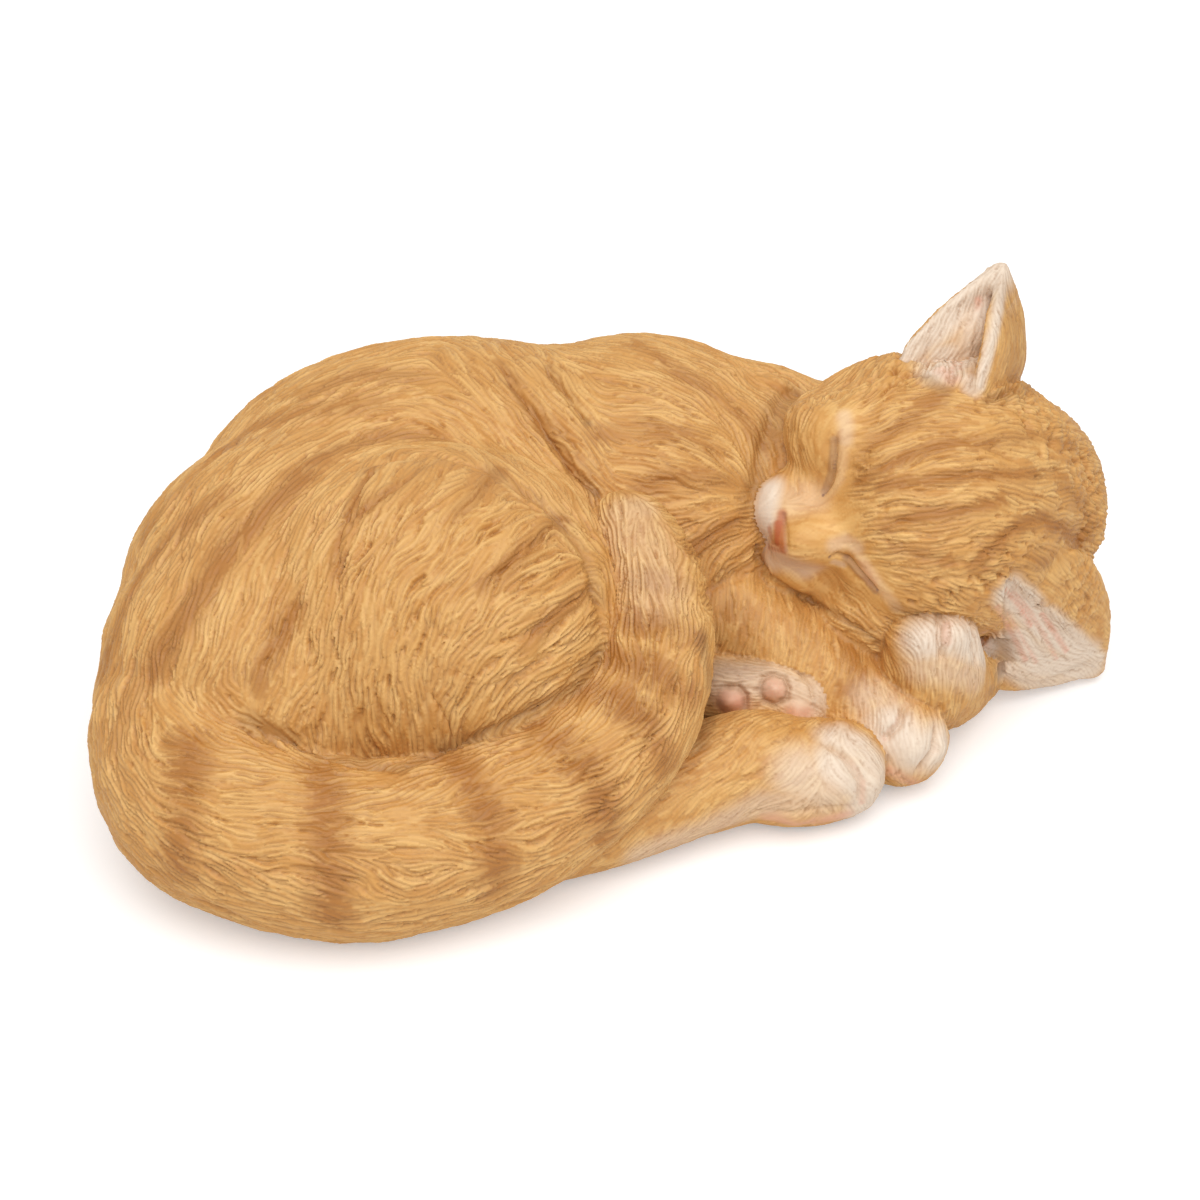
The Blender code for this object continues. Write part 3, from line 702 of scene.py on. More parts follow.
def fused_skin():
    """Outer skin of all the castings, bonded together and smooth."""
    clay = []
    for names, voxel, rounds in clay_plan():
        points, quads = remeshed(grown_copy(names), voxel)
        points = smoothed(points, neighbours_of(quads, len(points)), rounds)
        clay.append((points, quads))
    starts = np.cumsum([0] + [len(points) for points, _ in clay])
    points = np.concatenate([points for points, _ in clay])
    quads = np.concatenate([quads + start for (_, quads), start in zip(clay, starts)])
    points, quads = largest_island(*remeshed(new_mesh("all", points, quads), SKIN_VOXEL))
    points = smoothed(points, neighbours_of(quads, len(points)), 3)
    points[:, 2] = np.maximum(points[:, 2], UNDERSIDE)
    return points, quads


def clay_plan():
    """Groups of nodes that are remeshed together, with the voxel and the smoothing rounds."""
    plan = [(TRUNK_NODES, TRUNK_VOXEL, 14)]
    for name in COATS:
        if name not in TRUNK_NODES:
            plan.append(((name,), LIMB_VOXEL, 4 if name.startswith("ear") else 8))
    return plan


def node_of_each(places):
    """Number in NODES of the CAD node that lies nearest to each place."""
    points = []
    triangles = []
    owner = []
    for number, name in enumerate(NODES):
        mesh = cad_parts[name].data
        mesh.calc_loop_triangles()
        start = len(points)
        points.extend(vert.co.copy() for vert in mesh.vertices)
        for triangle in mesh.loop_triangles:
            triangles.append([start + k for k in triangle.vertices])
            owner.append(number)
    tree = BVHTree.FromPolygons(points, triangles)
    return np.array([owner[tree.find_nearest(Vector(place))[2]] for place in places])


# Guides.

class Guide:
    """Casts strokes of the photograph's frame onto the skin."""

    def __init__(self, points, quads, owners):
        self.tree = BVHTree.FromPolygons(points.tolist(), quads.tolist())
        self.owners = owners

    def hit(self, pixel):
        """Place, normal and owner of the skin at a pixel, or None beside the skin."""
        ray = Vector(ray_of(pixel)).normalized()
        place, normal, number, _ = self.tree.ray_cast(Vector(CAMERA_PLACE), ray)
        if place is None:
            return None
        return np.array(place), np.array(normal), self.owners[number]

    def hits(self, stroke, spacing=3.0):
        """Places on the skin along a stroke, the skin's normals there and the owners."""
        stroke = np.array(stroke, float)
        pixels = []
        for start, end in zip(stroke[:-1], stroke[1:]):
            steps = max(1, int(np.linalg.norm(end - start) / spacing))
            pixels.extend(start + (end - start) * k / steps for k in range(steps))
        pixels.append(stroke[-1])
        found = [hit for hit in map(self.hit, pixels) if hit is not None]
        return [np.array(column) for column in zip(*found)]


def group_of(owners, places):
    """Group that paint and hair keep to: the trunk with the root of the tail, or one casting."""
    trunk = np.isin(owners, [NODES.index(name) for name in TRUNK_NODES])
    root = (owners == NODES.index("tail")) & (places[:, 0] < TAIL_ROOT)
    return np.where(trunk | root, 0, owners)


def stroke_distance(points, normals, places, facings, reach, run=12):
    """Distance of each point from a stroke, infinite beyond its reach, and the stroke's nearest place."""
    distance = np.full(len(points), np.inf)
    nearest = np.zeros(len(points), int)
    around = np.flatnonzero(within(points, places, reach))
    for first in range(0, len(places), run):
        part = places[first:first + run]
        near = around[within(points[around], part, reach)]
        if not len(near):
            continue
        gaps = np.linalg.norm(points[near][:, None] - part[None], axis=2)
        closest = gaps.argmin(axis=1)
        gap = gaps[np.arange(len(near)), closest]
        facing = np.sum(normals[near] * facings[first + closest], axis=1)
        better = (gap < reach) & (gap < distance[near]) & (facing > 0.1)
        distance[near[better]] = gap[better]
        nearest[near[better]] = first + closest[better]
    return distance, nearest


def within(points, places, reach):
    """Whether each point lies in the box round the places."""
    return np.all((points > places.min(axis=0) - reach) & (points < places.max(axis=0) + reach), axis=1)


def merged(points, normals, table, guide):
    """The points with the skin smoothed along the strokes where castings run into one another."""
    share = np.zeros(len(points))
    for width, stroke in MERGED:
        places, facings, _ = guide.hits(stroke)
        distance, _ = stroke_distance(points, normals, places, facings, width * MM)
        share = np.maximum(share, smooth_step(0, 0.6, 1 - distance / (width * MM)))
    return points + (averaged(points, table, 40) - points) * share[:, None]


def ear_opened(points, owners):
    """The points with the cheek pressed back to the lower ear's inner face, and which points show in it."""
    corners = np.array([place_at(pixel, depth) for pixel, depth in EAR_FACE])
    facing = np.cross(corners[1] - corners[0], corners[2] - corners[0])
    offset = points - CAMERA_PLACE
    depth = offset @ VIEW
    across = FRAME_PIXELS / 2 + offset @ VIEW_RIGHT / depth * PIXELS_PER_TAN
    below = FRAME_PIXELS / 2 - offset @ VIEW_UP / depth * PIXELS_PER_TAN
    inside = np.full(len(points), np.inf)
    for start, end in zip(EAR_OPENING, EAR_OPENING[1:] + EAR_OPENING[:1]):
        run = np.array(end, float) - start
        edge = (run[0] * (below - start[1]) - run[1] * (across - start[0])) / np.hypot(*run)
        inside = np.minimum(inside, edge)
    ray = unit(offset)
    gap = ((corners[0] - CAMERA_PLACE) @ facing) / (ray @ facing) - np.linalg.norm(offset, axis=1)
    mine = np.isin(owners, [NODES.index("head_shell"), NODES.index("ear_lower")])
    pressed = mine & (gap > 0) & (gap < EAR_PRESS)
    shown = mine & (gap > -EAR_SKIN) & (gap < EAR_PRESS) & (inside > EAR_MARGIN)
    return points + ray * (gap * smooth_step(0, EAR_BLEND, inside) * pressed)[:, None], shown


def carved(points, normals, guide):
    """The points with the folds, creases, eyes, nose, mouth and toes cut into the skin."""
    for stroke, width, depth in CARVING:
        places, facings, _ = guide.hits(stroke, 2.0)
        distance, nearest = stroke_distance(points, normals, places, facings, 3 * width * MM)
        cut = np.isfinite(distance)
        along = np.linspace(0, math.pi, len(places))[nearest[cut]]
        taper = np.minimum(1.0, 2.5 * np.sin(along)) * 0.85 + 0.15
        amount = depth * MM * taper * np.exp(-(distance[cut] / (width * MM)) ** 2)
        points[cut] -= facings[nearest[cut]] * amount[:, None]
    for pixel, radius, height in SWELLINGS:
        place, facing, _ = guide.hit(pixel)
        distance, _ = stroke_distance(points, normals, place[None], facing[None], radius * MM)
        swollen = np.isfinite(distance)
        amount = height * MM * (1 - (distance[swollen] / (radius * MM)) ** 2) ** 2
        points[swollen] += facing * amount[:, None]
    return points


def paint_mask(skin, guide, layer):
    """From 0 to 1: how much paint a layer leaves on each point."""
    soft = SOFTNESS.get(layer, USUAL_SOFTNESS)
    across = layer == LAYER_ACROSS
    mask = np.zeros(len(skin.points))
    for width, strength, stroke in PAINT[layer]:
        places, facings, owners = guide.hits(stroke)
        reach = width * (1 + soft) * MM
        distance, nearest = stroke_distance(skin.points, skin.normals, places, facings, reach)
        amount = strength * smooth_step(0, 1, (reach - distance) / (2 * soft * width * MM))
        same = across | (skin.groups == group_of(owners, places)[nearest])
        mask = np.maximum(mask, np.where(same, amount, 0))
    return mask


# Hair.

def hair_guides(guide):
    """Places of the hair guides, their directions and their owners."""
    places = []
    lies = []
    owners = []
    for stroke in HAIR_STROKES:
        hit, _, owner = guide.hits(stroke, 5.0)
        move = np.diff(hit, axis=0)
        step = np.linalg.norm(move, axis=1)
        close = (step > 0) & (step < 8 * MM)
        places.append(hit[:-1][close])
        lies.append(unit(move[close]))
        owners.append(owner[:-1][close])
    for place, lie in HIDDEN_HAIR:
        near, _, number, _ = guide.tree.find_nearest(Vector(place) * MM)
        places.append(np.array([near]))
        lies.append(unit(np.array([lie], float)))
        owners.append(guide.owners[[number]])
    return np.concatenate(places), np.concatenate(lies), np.concatenate(owners)


def hair_flow(points, normals, owners, table, guide):
    """Unit direction of the hair at each point, along the skin."""
    places, lies, guide_owners = hair_guides(guide)
    guide_groups = group_of(guide_owners, places)
    groups = group_of(owners, points)
    flow = np.zeros_like(points)
    for group in np.unique(groups):
        mine = guide_groups == group
        if not mine.any():
            mine = np.ones(len(places), bool)
        here = groups == group
        flow[here] = blended_lies(points[here], places[mine], lies[mine])
    flow = averaged(flow, table, 12)
    return laid_flat(flow, normals)


def laid_flat(flow, normals):
    """The directions turned into the skin."""
    return unit(flow - normals * np.sum(flow * normals, axis=1, keepdims=True))


def blended_lies(points, places, lies, count=6, softness=3 * MM):
    """Directions at the points from the guides nearest to them."""
    tree = KDTree(len(places))
    for number, place in enumerate(places):
        tree.insert(place, number)
    tree.balance()
    count = min(count, len(places))
    found = [tree.find_n(point, count) for point in points]
    number = np.array([[hit[1] for hit in row] for row in found])
    distance = np.array([[hit[2] for hit in row] for row in found])
    weight = 1.0 / (distance ** 2 + softness ** 2)
    return np.sum(lies[number] * weight[..., None], axis=1)


def cloud(points, size):
    """Smooth random field between about -1 and 1, with blotches of this size."""
    return np.array([noise.noise(place) for place in points / size])


def wavered(flow, normals, points):
    """The flow with locks that waver to either side."""
    angle = sum(swing * cloud(points + shift, size * MM) for shift, (swing, size) in enumerate(WAVERS))
    return turned(flow, normals, angle)


def turned(flow, normals, angle):
    """The directions turned by an angle about the normals."""
    return flow * np.cos(angle)[:, None] + np.cross(normals, flow) * np.sin(angle)[:, None]


Skin = namedtuple("Skin", "points table normals flow groups areas")
Lines = namedtuple("Lines", "frames facings owners steps lifts")
Locks = namedtuple("Locks", "top number middles")
Coat = namedtuple("Coat", "flow spacing height lock tone stripe streak rough")


def point_areas(points, quads):
    """Area of the skin that belongs to each point."""
    corner = points[quads]
    area = np.linalg.norm(np.cross(corner[:, 2] - corner[:, 0], corner[:, 3] - corner[:, 1]), axis=1) / 2
    return np.bincount(quads.ravel(), np.repeat(area / 4, 4), len(points))


def lock_lines(rng, skin, width, length, stray, lift):
    """Locks of hair laid step by step over the skin: their steps, reach, middle points and groups."""
    chance = LOCK_COVER * skin.areas / (width * length)
    at = np.flatnonzero(rng.random(len(chance)) < chance)
    count = len(at)
    numbers = np.arange(count)
    group = skin.groups[at]
    stride = (length[at] * rng.uniform(0.7, 1.3, count) / LOCK_STEPS)[:, None]
    half = (width[at] * rng.uniform(0.35, 0.70, count))[:, None]
    rise = lift[at] * rng.uniform(0.4, 1.6, count)
    bend = stray[at] * rng.normal(0, 1, count)
    curl = stray[at] * rng.normal(0, 2.0 / LOCK_STEPS, count)
    place = skin.points[at]
    rows = []
    for step in range(LOCK_STEPS):
        facing = skin.normals[at]
        lie = turned(skin.flow[at], facing, bend + curl * step)
        axes = np.hstack([place, lie / stride, np.cross(facing, lie) / half])
        kept = skin.groups[at] == group
        rows.append([column[kept] for column in (axes, facing, numbers, np.full(count, step), rise)])
        if step == LOCK_STEPS // 2:
            middles = at
        place = place + lie * stride
        for _ in range(4):
            options = np.column_stack([at, skin.table[at]])
            gaps = np.sum((skin.points[options] - place[:, None]) ** 2, axis=2)
            at = options[numbers, gaps.argmin(axis=1)]
        above = np.sum((place - skin.points[at]) * skin.normals[at], axis=1, keepdims=True)
        place = place - skin.normals[at] * above
    reach = np.hypot(STEP_REACH * stride.max(), half.max())
    return Lines(*[np.concatenate(column) for column in zip(*rows)]), reach, middles, group


def lock_profile(along):
    """Width and rise of a lock from its root at 0 to its pointed tip at 1."""
    width = np.where(along < 0.4, 0.35 + 0.65 * along / 0.4, 1 - (np.maximum(along - 0.4, 0) / 0.6) ** 1.6)
    rise = smooth_step(0, 0.55, along) - 0.45 * smooth_step(0.65, 1.0, along)
    return np.maximum(width, 0.02), rise


def cell_numbers(places, cell):
    """Number of the grid cell that each place lies in."""
    return (np.floor(places / cell).astype(np.int64) + CELL_SHIFT) @ CELL_WEIGHTS


def laid_locks(rng, skin, width, length, stray, lift):
    """Locks laid over one another: their height on each point, the topmost lock there, the locks' middles."""
    lines, cell, middles, group = lock_lines(rng, skin, width, length, stray, lift)
    keys = cell_numbers(lines.frames[:, :3], cell)
    order = np.argsort(keys, kind="stable")
    keys = keys[order]
    lines = Lines(*[column[order] for column in lines])
    frames = lines.frames.astype(np.float32)
    points = skin.points.astype(np.float32)
    own = cell_numbers(skin.points, cell)
    walk = np.argsort(own, kind="stable")
    own = own[walk]
    top = np.full(len(own), NO_LOCK)
    number = np.full(len(own), -1)
    for move in np.ndindex(3, 3, 3):
        wanted = own + (np.array(move) - 1) @ CELL_WEIGHTS
        first = np.searchsorted(keys, wanted)
        last = np.searchsorted(keys, wanted, side="right")
        some = np.flatnonzero(last > first)
        here, sample, last = walk[some], first[some], last[some]
        while len(here):
            axes = frames[sample]
            gap = points[here] - axes[:, :3]
            along = np.einsum("ij,ij->i", gap, axes[:, 3:6])
            across = np.einsum("ij,ij->i", gap, axes[:, 6:9])
            close = np.flatnonzero((np.abs(along) < STEP_REACH) & (np.abs(across) < 1))
            stamp(skin, lines, group, here[close], sample[close], along[close], across[close], top, number)
            sample = sample + 1
            more = sample < last
            here, sample, last = here[more], sample[more], last[more]
    return Locks(top, number, middles)


def stamp(skin, lines, group, here, sample, along, across, top, number):
    """Raise these points to one step of a lock each, where it is higher than what lies there."""
    width, rise = lock_profile((lines.steps[sample] + 0.5 + along) / LOCK_STEPS)
    share = 1 - (across / width) ** 2
    owner = lines.owners[sample]
    facing = np.sum(skin.normals[here] * lines.facings[sample], axis=1)
    height = 0.7 * share + lines.lifts[sample] * (rise - 0.5)
    better = (share > 0) & (facing > 0.3) & (group[owner] == skin.groups[here]) & (height > top[here])
    top[here[better]] = height[better]
    number[here[better]] = owner[better]


class Comb:
    """Waves on the skin: each point holds a phase that agrees with its neighbours."""

    def __init__(self, points, table, flow, waves, across):
        """waves gives the direction and the rate of the phase, across how much the strands hold together."""
        reach = points[table] - points[:, None]
        phase = np.sum(reach * (waves[:, None] + waves[table]) / 2, axis=2)
        along = np.sum(unit(reach) * flow[:, None], axis=2) ** 2
        weight = (across + along * along) * (table != np.arange(len(points))[:, None])
        self.table = table
        self.weight = (weight / np.maximum(weight.sum(axis=1, keepdims=True), 1e-9)).astype(np.float32)
        self.turn = (self.weight * np.exp(-1j * phase)).astype(np.complex64)

    def settled(self, wave, rounds, own=0.3):
        """The wave after it has agreed with its neighbours."""
        for _ in range(rounds):
            total = (wave[self.table] * self.turn).sum(axis=1) + own * wave
            wave = total / np.maximum(np.abs(total), 1e-9)
        return wave

    def refined(self, wave, rounds):
        """The wave of the coarse points, spread to the points between them."""
        count = len(wave)
        spread = np.zeros(len(self.table), np.complex64)
        spread[:count] = wave
        for _ in range(3):
            total = (spread[self.table] * self.turn).sum(axis=1)
            spread[count:] = (total / np.maximum(np.abs(total), 1e-9))[count:]
        return self.settled(spread, rounds)

    def streaked(self, field, rounds):
        """A field drawn out along the strands."""
        for _ in range(rounds):
            field = (field[self.table] * self.weight).sum(axis=1)
        return field


def even(field):
    """The field's values spread evenly from 0 to 1."""
    rank = np.empty(len(field))
    rank[np.argsort(field)] = np.linspace(0, 1, len(field))
    return rank


def waves_across(normals, flow, spacing):
    """Direction and rate of the strands' phase, across the flow."""
    return np.cross(normals, flow) * (2 * math.pi / spacing)[:, None]


def ridge_of(wave):
    """Round ridges with sharp grooves between them, from 0 to 1."""
    return np.abs(np.cos(np.angle(wave) / 2))


# Colours and materials.

GINGER = (0.69, 0.355, 0.094)
GINGER_DEEP = (0.58, 0.265, 0.062)
STRIPE = (0.41, 0.155, 0.022)
# GROOVE is the brown of the paint's wash in the grooves, and also serves as painted shade there and in the
# creases.
GROOVE = (0.34, 0.15, 0.045)
LIGHT = (0.84, 0.51, 0.18)
CREAM = (0.85, 0.73, 0.60)
PINK = (0.79, 0.40, 0.28)
NOSE = (0.44, 0.105, 0.032)
# Dark mauve of the eye slits and mouth, also used for painted shade beside the slits and along the nose
# bridge.
LINE_AND_SHADE = (0.22, 0.11, 0.09)
SHADE = (0.21, 0.095, 0.035)


class Nodes:
    """Shorthand for building a material."""

    def __init__(self, name):
        self.material = bpy.data.materials.new(name)
        self.material.use_nodes = True
        self.tree = self.material.node_tree
        self.shader = self.tree.nodes["Principled BSDF"]

    def add(self, kind, **values):
        """New node with these inputs or settings."""
        node = self.tree.nodes.new(kind)
        for key, value in values.items():
            if key in node.inputs:
                node.inputs[key].default_value = value
            else:
                setattr(node, key, value)
        return node

    def link(self, source, target):
        """Join an output to an input."""
        self.tree.links.new(source, target)

    def feed(self, value, socket):
        """Give an input a number, a colour or another node's output."""
        if isinstance(value, float):
            socket.default_value = value
        elif isinstance(value, tuple):
            socket.default_value = (*value, 1.0)
        else:
            self.link(value, socket)

    def attribute(self, name):
        """A field of the mesh."""
        return self.add("ShaderNodeAttribute", attribute_name=name).outputs["Fac"]

    def scaled(self, value, factor, offset=0.0):
        """The value times a factor plus an offset, held between 0 and 1."""
        node = self.add("ShaderNodeMath", operation="MULTIPLY_ADD", use_clamp=True)
        for socket, number in zip(node.inputs, (value, factor, offset)):
            self.feed(number, socket)
        return node.outputs[0]

    def maths(self, operation, *values):
        """Result of an operation."""
        node = self.add("ShaderNodeMath", operation=operation)
        for socket, value in zip(node.inputs, values):
            self.feed(value, socket)
        return node.outputs[0]

    def mixed(self, below, above, share):
        """One colour laid over another by a share."""
        node = self.add("ShaderNodeMix", data_type="RGBA")
        for number, value in ((0, share), (6, below), (7, above)):
            self.feed(value, node.inputs[number])
        return node.outputs[2]

    def noise(self, size, detail=3.0):
        """Blotches of this size."""
        place = self.add("ShaderNodeTexCoord")
        node = self.add("ShaderNodeTexNoise", Scale=1.0 / size, Detail=detail)
        self.link(place.outputs["Object"], node.inputs["Vector"])
        return node.outputs["Fac"]

    def bump(self, height, distance, strength):
        """Fine relief of the surface."""
        node = self.add("ShaderNodeBump", Distance=distance, Strength=strength)
        self.link(height, node.inputs["Height"])
        self.link(node.outputs["Normal"], self.shader.inputs["Normal"])


def painted_fur():
    """Hand-painted coat: ginger with tabby stripes, brown grooves, cream and pink where the skin shows. The
    brown in the grooves is the paint's wash together with painted shade, and the creases, folds and sides of
    the eye slits get painted shade.
    """
    paint = Nodes("painted_fur")
    phase = paint.maths("ARCTAN2", paint.attribute("wave_y"), paint.attribute("wave_x"))
    ridge = paint.maths("ABSOLUTE", paint.maths("COSINE", paint.maths("MULTIPLY", phase, 0.5)))
    thread = paint.maths("ABSOLUTE", paint.maths("COSINE", phase))
    hair = paint.attribute("hair")
    # Darker between the strands and between the finer threads within them: the paint's brown wash together
    # with painted shade.
    groove = paint.maths("MULTIPLY", paint.scaled(ridge, -1.7, 1.15), hair)
    thread_wash_and_shade = paint.maths("MULTIPLY", paint.scaled(thread, -1.0, 0.7), hair)
    colour = paint.mixed(GINGER_DEEP, GINGER, paint.scaled(paint.noise(14 * MM), 2.0, -0.5))
    colour = paint.mixed(colour, LIGHT, paint.scaled(paint.attribute("tone"), 1.3, -0.3))
    # Stripes, cream and pink are the coat's own colours. The groove and thread washes are the paint's wash
    # together with painted shade, the crease wash and the shade layer are painted shade, and the line layer
    # holds the dark eye slits and mouth with painted shade beside the slits.
    washes = [
        ("stripe", STRIPE, 0.95), ("pale", CREAM, 0.95), ("blush", PINK, 0.8),
        (groove, GROOVE, 0.60), (thread_wash_and_shade, GROOVE, 0.28), ("groove", GROOVE, 0.52), ("crease", GROOVE, 0.5),
        ("shade", SHADE, 0.75), ("nose", NOSE, 0.95), ("line", LINE_AND_SHADE, 0.85),
    ]
    for share, tint, strength in washes:
        if isinstance(share, str):
            share = paint.attribute(share)
        colour = paint.mixed(colour, tint, paint.scaled(share, strength))
    paint.link(colour, paint.shader.inputs["Base Color"])
    rough = paint.scaled(paint.noise(2.5 * MM), 0.25, 0.42)
    paint.link(rough, paint.shader.inputs["Roughness"])
    relief = paint.maths("ADD", ridge, paint.scaled(thread, 0.4))
    paint.bump(paint.maths("MULTIPLY", relief, hair), 0.2 * MM, 0.6)
    return paint.material


def grained(name, dark, light, size, roughness, metallic=0.0, depth=0.1 * MM):
    """Plain material with grain in its colour and surface."""
    grain = Nodes(name)
    colour = grain.mixed(dark, light, grain.scaled(grain.noise(size, 4.0), 2.0, -0.5))
    grain.link(colour, grain.shader.inputs["Base Color"])
    grain.shader.inputs["Roughness"].default_value = roughness
    grain.shader.inputs["Metallic"].default_value = metallic
    grain.bump(grain.noise(size / 3, 3.0), depth, 0.5)
    return grain.material


# Stage.

def add_camera():
    """Camera at the photograph's viewing angle."""
    data = bpy.data.cameras.new("camera")
    data.lens = LENS
    data.sensor_width = SENSOR
    camera = linked("camera", data)
    camera.location = CAMERA_PLACE
    camera.rotation_euler = (math.pi / 2 - CAMERA_ELEVATION, 0, 0)
    bpy.context.scene.camera = camera


def add_lamp():
    """Square soft lamp that shines at the figurine."""
    data = bpy.data.lights.new("key", "AREA")
    data.energy = LAMP_POWER
    data.size = LAMP_SIZE
    lamp = linked("key", data)
    lamp.location = LAMP_PLACE
    lamp.rotation_euler = (-Vector(LAMP_PLACE)).to_track_quat("-Z", "Y").to_euler()


def add_floor():
    """White floor. The camera sees it a little brighter than it is lit, so that it turns white."""
    corners = [(x * FLOOR_HALF, y * FLOOR_HALF, 0) for x, y in ((-1, -1), (1, -1), (1, 1), (-1, 1))]
    mesh = bpy.data.meshes.new("floor")
    mesh.from_pydata(corners, [], [(0, 1, 2, 3)])
    floor = linked("floor", mesh)
    white = Nodes("floor_white")
    white.shader.inputs["Base Color"].default_value = FLOOR_WHITE
    white.shader.inputs["Roughness"].default_value = 0.9
    glow = white.add("ShaderNodeEmission", Strength=FLOOR_GLOW)
    seen = white.add("ShaderNodeLightPath")
    dark = white.add("ShaderNodeEmission", Strength=0.0)
    choice = white.add("ShaderNodeMixShader")
    white.link(seen.outputs["Is Camera Ray"], choice.inputs[0])
    white.link(dark.outputs[0], choice.inputs[1])
    white.link(glow.outputs[0], choice.inputs[2])
    both = white.add("ShaderNodeAddShader")
    white.link(white.shader.outputs[0], both.inputs[0])
    white.link(choice.outputs[0], both.inputs[1])
    white.link(both.outputs[0], white.tree.nodes["Material Output"].inputs["Surface"])
    mesh.materials.append(white.material)


def add_world():
    """Even white surroundings."""
    world = bpy.data.worlds.new("studio")
    world.use_nodes = True
    background = world.node_tree.nodes["Background"]
    background.inputs["Color"].default_value = (1.0, 1.0, 1.0, 1.0)
    background.inputs["Strength"].default_value = WORLD_STRENGTH
    bpy.context.scene.world = world


def dress(points, quads, owners, normals, fields, material):
    """One piece of fur for each casting."""
    for number, name in enumerate(COATS):
        piece_name = COATS[name][0]
        part, part_quads, used = kept_part(points, quads, owners == number)
        mesh = new_mesh(piece_name, part, part_quads)
        mesh.shade_smooth()
        mesh.normals_split_custom_set_from_vertices(normals[used].tolist())
        for field_name, field in fields.items():
            attribute = mesh.attributes.new(field_name, "FLOAT", "POINT")
            attribute.data.foreach_set("value", field[used].astype(np.float32))
        mesh.materials.append(material)
        piece = linked(piece_name, mesh)
        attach(piece, "root")
        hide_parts(name)


def coat_field(owners, column):
    """A column of COATS for each point, in metres. The bare plate has none."""
    values = [coat[column] for coat in COATS.values()] + [0.0] * len(BARE_NODES)
    return np.array(values)[owners] * MM


def prepared_skin():
    """Fused skin with the lower ear opened: points, quads, neighbours, and owners of the points and quads."""
    points, quads = fused_skin()
    table = neighbours_of(quads, len(points))
    owners = node_of_each(points)
    quad_owners = node_of_each(points[quads].mean(axis=1))
    guide = Guide(points, quads, quad_owners)
    points = merged(points, normals_of(points, quads), table, guide)
    points, opened = ear_opened(points, owners)
    soft = smooth_step(0, 0.3, averaged(opened.astype(float), table, 4))
    points = points + (averaged(points, table, 5) - points) * soft[:, None]
    ear = NODES.index("ear_lower")
    owners = np.where(opened, ear, owners)
    quad_owners = np.where(opened[quads].sum(axis=1) > 2, ear, quad_owners)
    return points, quads, table, owners, quad_owners


def combed_coat(rng, skin, owners, guide):
    """The coat on the points of the skin, and the wave of its strands."""
    spacing, length, height = [averaged(coat_field(owners, column), skin.table, 8) for column in (1, 2, 3)]
    spread = 1 + SPACING_SPREAD * cloud(skin.points, SPACING_PATCH)
    spacing = np.maximum(spacing, LEAST_SPACING) * spread
    length = np.maximum(length, LEAST_LENGTH)
    stripe = paint_mask(skin, guide, "stripe")
    rough = paint_mask(skin, guide, "rough")
    whole = skin._replace(groups=np.where(owners == NODES.index("tail"), 0, skin.groups))
    width = STRANDS_PER_LOCK * spacing
    locks = laid_locks(rng, whole, width, length * (1 - 0.4 * rough), 0.15 + 0.3 * rough, 0.7 + 0.8 * rough)
    tint = rng.random(len(locks.middles) + 1)
    shift = 0.6 * (rng.random(len(locks.middles) + 1) - 0.5)
    lock_stripe = smooth_step(0.15, 0.85, np.append(stripe[locks.middles], 0) + shift)[locks.number]
    waves = waves_across(skin.normals, skin.flow, spacing)
    comb = Comb(skin.points, skin.table, skin.flow, waves, STRAND_HOLD)
    phases = np.exp(2j * math.pi * rng.random(len(owners)))
    wave = comb.settled(phases.astype(np.complex64), COMB_ROUNDS)
    streak = even(comb.streaked(rng.random(len(owners)), COMB_ROUNDS))
    stripe = 0.5 * lock_stripe * smooth_step(0.02, 0.2, stripe) + 0.5 * stripe
    return Coat(skin.flow, spacing, height, locks.top, tint[locks.number], stripe, streak, rough), wave


def raised(skin, coat, wave):
    """The points raised by the strands and locks of the coat. The underside stays flat."""
    above = np.clip((skin.points[:, 2] - UNDERSIDE) / UNDERSIDE_FADE, 0, 1)
    strands = (STRAND_RELIEF + STRAND_STREAK * coat.streak) * (ridge_of(wave) - STRAND_LEVEL)
    bunches = (LOCK_RELIEF + LOCK_ROUGH * coat.rough) * (coat.lock - LOCK_LEVEL)
    points = skin.points + skin.normals * ((strands + bunches) * coat.height * above)[:, None]
    points[:, 2] = np.maximum(points[:, 2], UNDERSIDE)
    return points


def paint_fields(skin, coat, wave, guide, short, dip):
    """What the coat's material reads at each point."""
    layers = ("pale", LAYER_ACROSS, "blush", "shade", "nose", "line")
    fields = {layer: paint_mask(skin, guide, layer) for layer in layers}
    pale = np.maximum(fields["pale"], fields.pop(LAYER_ACROSS))
    # Partings between the locks lie lower than the locks around them and are painted darker: the paint's wash
    # together with painted shade.
    parting = averaged(coat.lock, skin.table, 8) - coat.lock + 0.25
    fields.update({
        "wave_x": wave.real,
        "wave_y": wave.imag,
        "tone": 0.65 * coat.tone + 0.35 * coat.streak,
        "stripe": coat.stripe,
        "hair": (0.2 + 0.9 * coat.streak) * (1 - 0.75 * short) * np.clip(coat.height / (0.4 * MM), 0, 1),
        "pale": pale,
        "blush": fields["blush"] * np.clip(0.45 + 1.1 * coat.streak, 0, 1.2),
        # crease: painted shade in the hollows and creases of the skin, less on the pale parts
        "crease": smooth_step(0.10 * MM, 0.60 * MM, dip) * (1 - 0.65 * pale),
        "groove": smooth_step(0.1, 0.6, parting) * (1 - 0.7 * short),
    })
    return fields


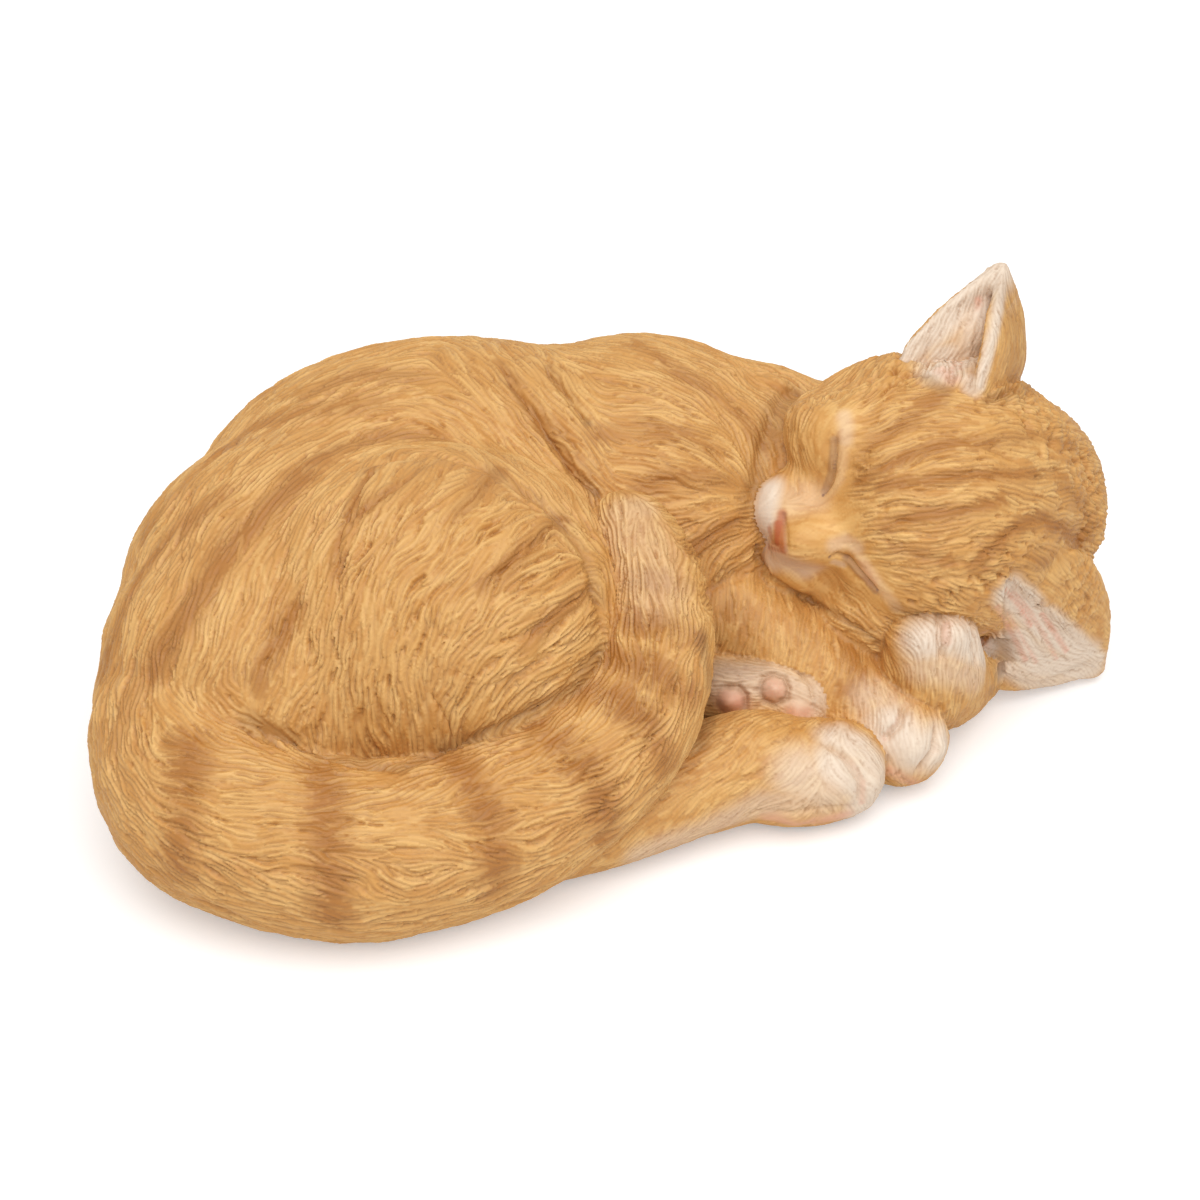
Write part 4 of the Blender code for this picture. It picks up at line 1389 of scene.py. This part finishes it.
def make_fur():
    """The coat of fur: skin, hair, carving, relief and paint, one piece for each casting."""
    rng = np.random.default_rng(SEED)
    points, quads, table, owners, quad_owners = prepared_skin()
    count = len(points)
    normals = normals_of(points, quads)
    guide = Guide(points, quads, quad_owners)
    flow = wavered(hair_flow(points, normals, owners, table, guide), normals, points)
    flow = laid_flat(flow, normals)
    skin = Skin(points, table, normals, flow, group_of(owners, points), point_areas(points, quads))
    coat, wave = combed_coat(rng, skin, owners, guide)

    fine, fine_quads, fields = subdivided(points, quads, coat)
    coat = Coat(*fields)
    fine_owners = np.concatenate([owners, np.zeros(len(fine) - count, int)])
    fine_owners[fine_quads.ravel()] = np.tile(quad_owners, 4).repeat(4)
    fine_table = neighbours_of(fine_quads, len(fine))
    fine = smoothed(fine, fine_table, 2)
    fine = carved(fine, normals_of(fine, fine_quads), guide)
    fine = smoothed(fine, fine_table, 1)
    normals = normals_of(fine, fine_quads)
    # How far each point sinks below its neighbours: the hollows and creases that get painted shade.
    dip = np.sum((averaged(fine[:count], table, 14) - fine[:count]) * normals[:count], axis=1)
    _, _, (dip,) = subdivided(points, quads, [dip])
    flow = laid_flat(coat.flow, normals)
    comb = Comb(fine, fine_table, flow, waves_across(normals, flow, coat.spacing), STRAND_HOLD)
    wave = comb.refined(wave, 5)
    skin = Skin(fine, fine_table, normals, flow, group_of(fine_owners, fine), None)

    short = paint_mask(skin, guide, "short")
    fuller = 1 + 0.5 * paint_mask(skin, guide, "deep") + 0.5 * coat.rough
    height = coat.height * (1 - 0.85 * short) * fuller
    coat = coat._replace(height=height, lock=averaged(coat.lock, fine_table, 1))
    fine = raised(skin, coat, wave)
    fields = paint_fields(skin, coat, wave, guide, short, dip)
    dress(fine, fine_quads, np.tile(quad_owners, 4), normals_of(fine, fine_quads), fields, painted_fur())


def pad_disc(name):
    """Mesh of a pressed disc with a soft, slightly uneven rim, in the space of a felt pad."""
    low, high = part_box(name)
    centre = (np.array(low) + np.array(high)) / 2
    radius = (high[0] - low[0]) / 2
    places = []
    for out, up in PAD_SECTION:
        for turn in range(PAD_TURNS):
            angle = 2 * math.pi * turn / PAD_TURNS
            spot = np.array((math.cos(angle), math.sin(angle), 0.0)) * out * radius
            fuzz = 1 + 0.012 * noise.noise(Vector((*(spot[:2] * 1500), up * 4))) * (out > 0.8)
            places.append(centre * (1, 1, 0) + spot * fuzz + (0, 0, low[2] + up * (high[2] - low[2])))
    ring = np.arange(PAD_TURNS)
    after = np.roll(ring, -1)
    bands = [np.stack([ring, after, PAD_TURNS + after, PAD_TURNS + ring], axis=1) + k * PAD_TURNS
             for k in range(len(PAD_SECTION) - 1)]
    form = bmesh.new()
    form.from_mesh(new_mesh(name, np.array(places), np.concatenate(bands)))
    clean(form)
    mesh = mesh_of(form, name + "_disc")
    mesh.shade_smooth()
    return mesh


def make_pads():
    """Felt pads."""
    felt = grained("felt", (0.05, 0.04, 0.03), (0.15, 0.12, 0.09), 0.8 * MM, 0.95, depth=0.4 * MM)
    for name in PADS:
        mesh = pad_disc(name)
        mesh.materials.append(felt)
        piece = linked(name + "_disc", mesh)
        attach(piece, "root")
        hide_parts(name)


def finish_bare_nodes():
    """Materials of the plate, the plug, the pins and the dowels."""
    resin = grained("bare_resin", (0.36, 0.31, 0.25), (0.52, 0.47, 0.39), 6 * MM, 0.6)
    rubber = grained("rubber", (0.02, 0.02, 0.02), (0.06, 0.06, 0.06), 2 * MM, 0.7)
    steel = grained("steel", (0.42, 0.42, 0.43), (0.62, 0.62, 0.63), 0.6 * MM, 0.35, 1.0)
    finishes = {"base_plate": resin, "vent_plug": rubber}
    for name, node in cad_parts.items():
        if name not in COATS and name not in PADS:
            node.data.materials.clear()
            node.data.materials.append(finishes.get(name, steel))


add_camera()
add_floor()
add_world()
add_lamp()
make_fur()
finish_bare_nodes()
make_pads()
bpy.context.scene.view_settings.view_transform = "Standard"
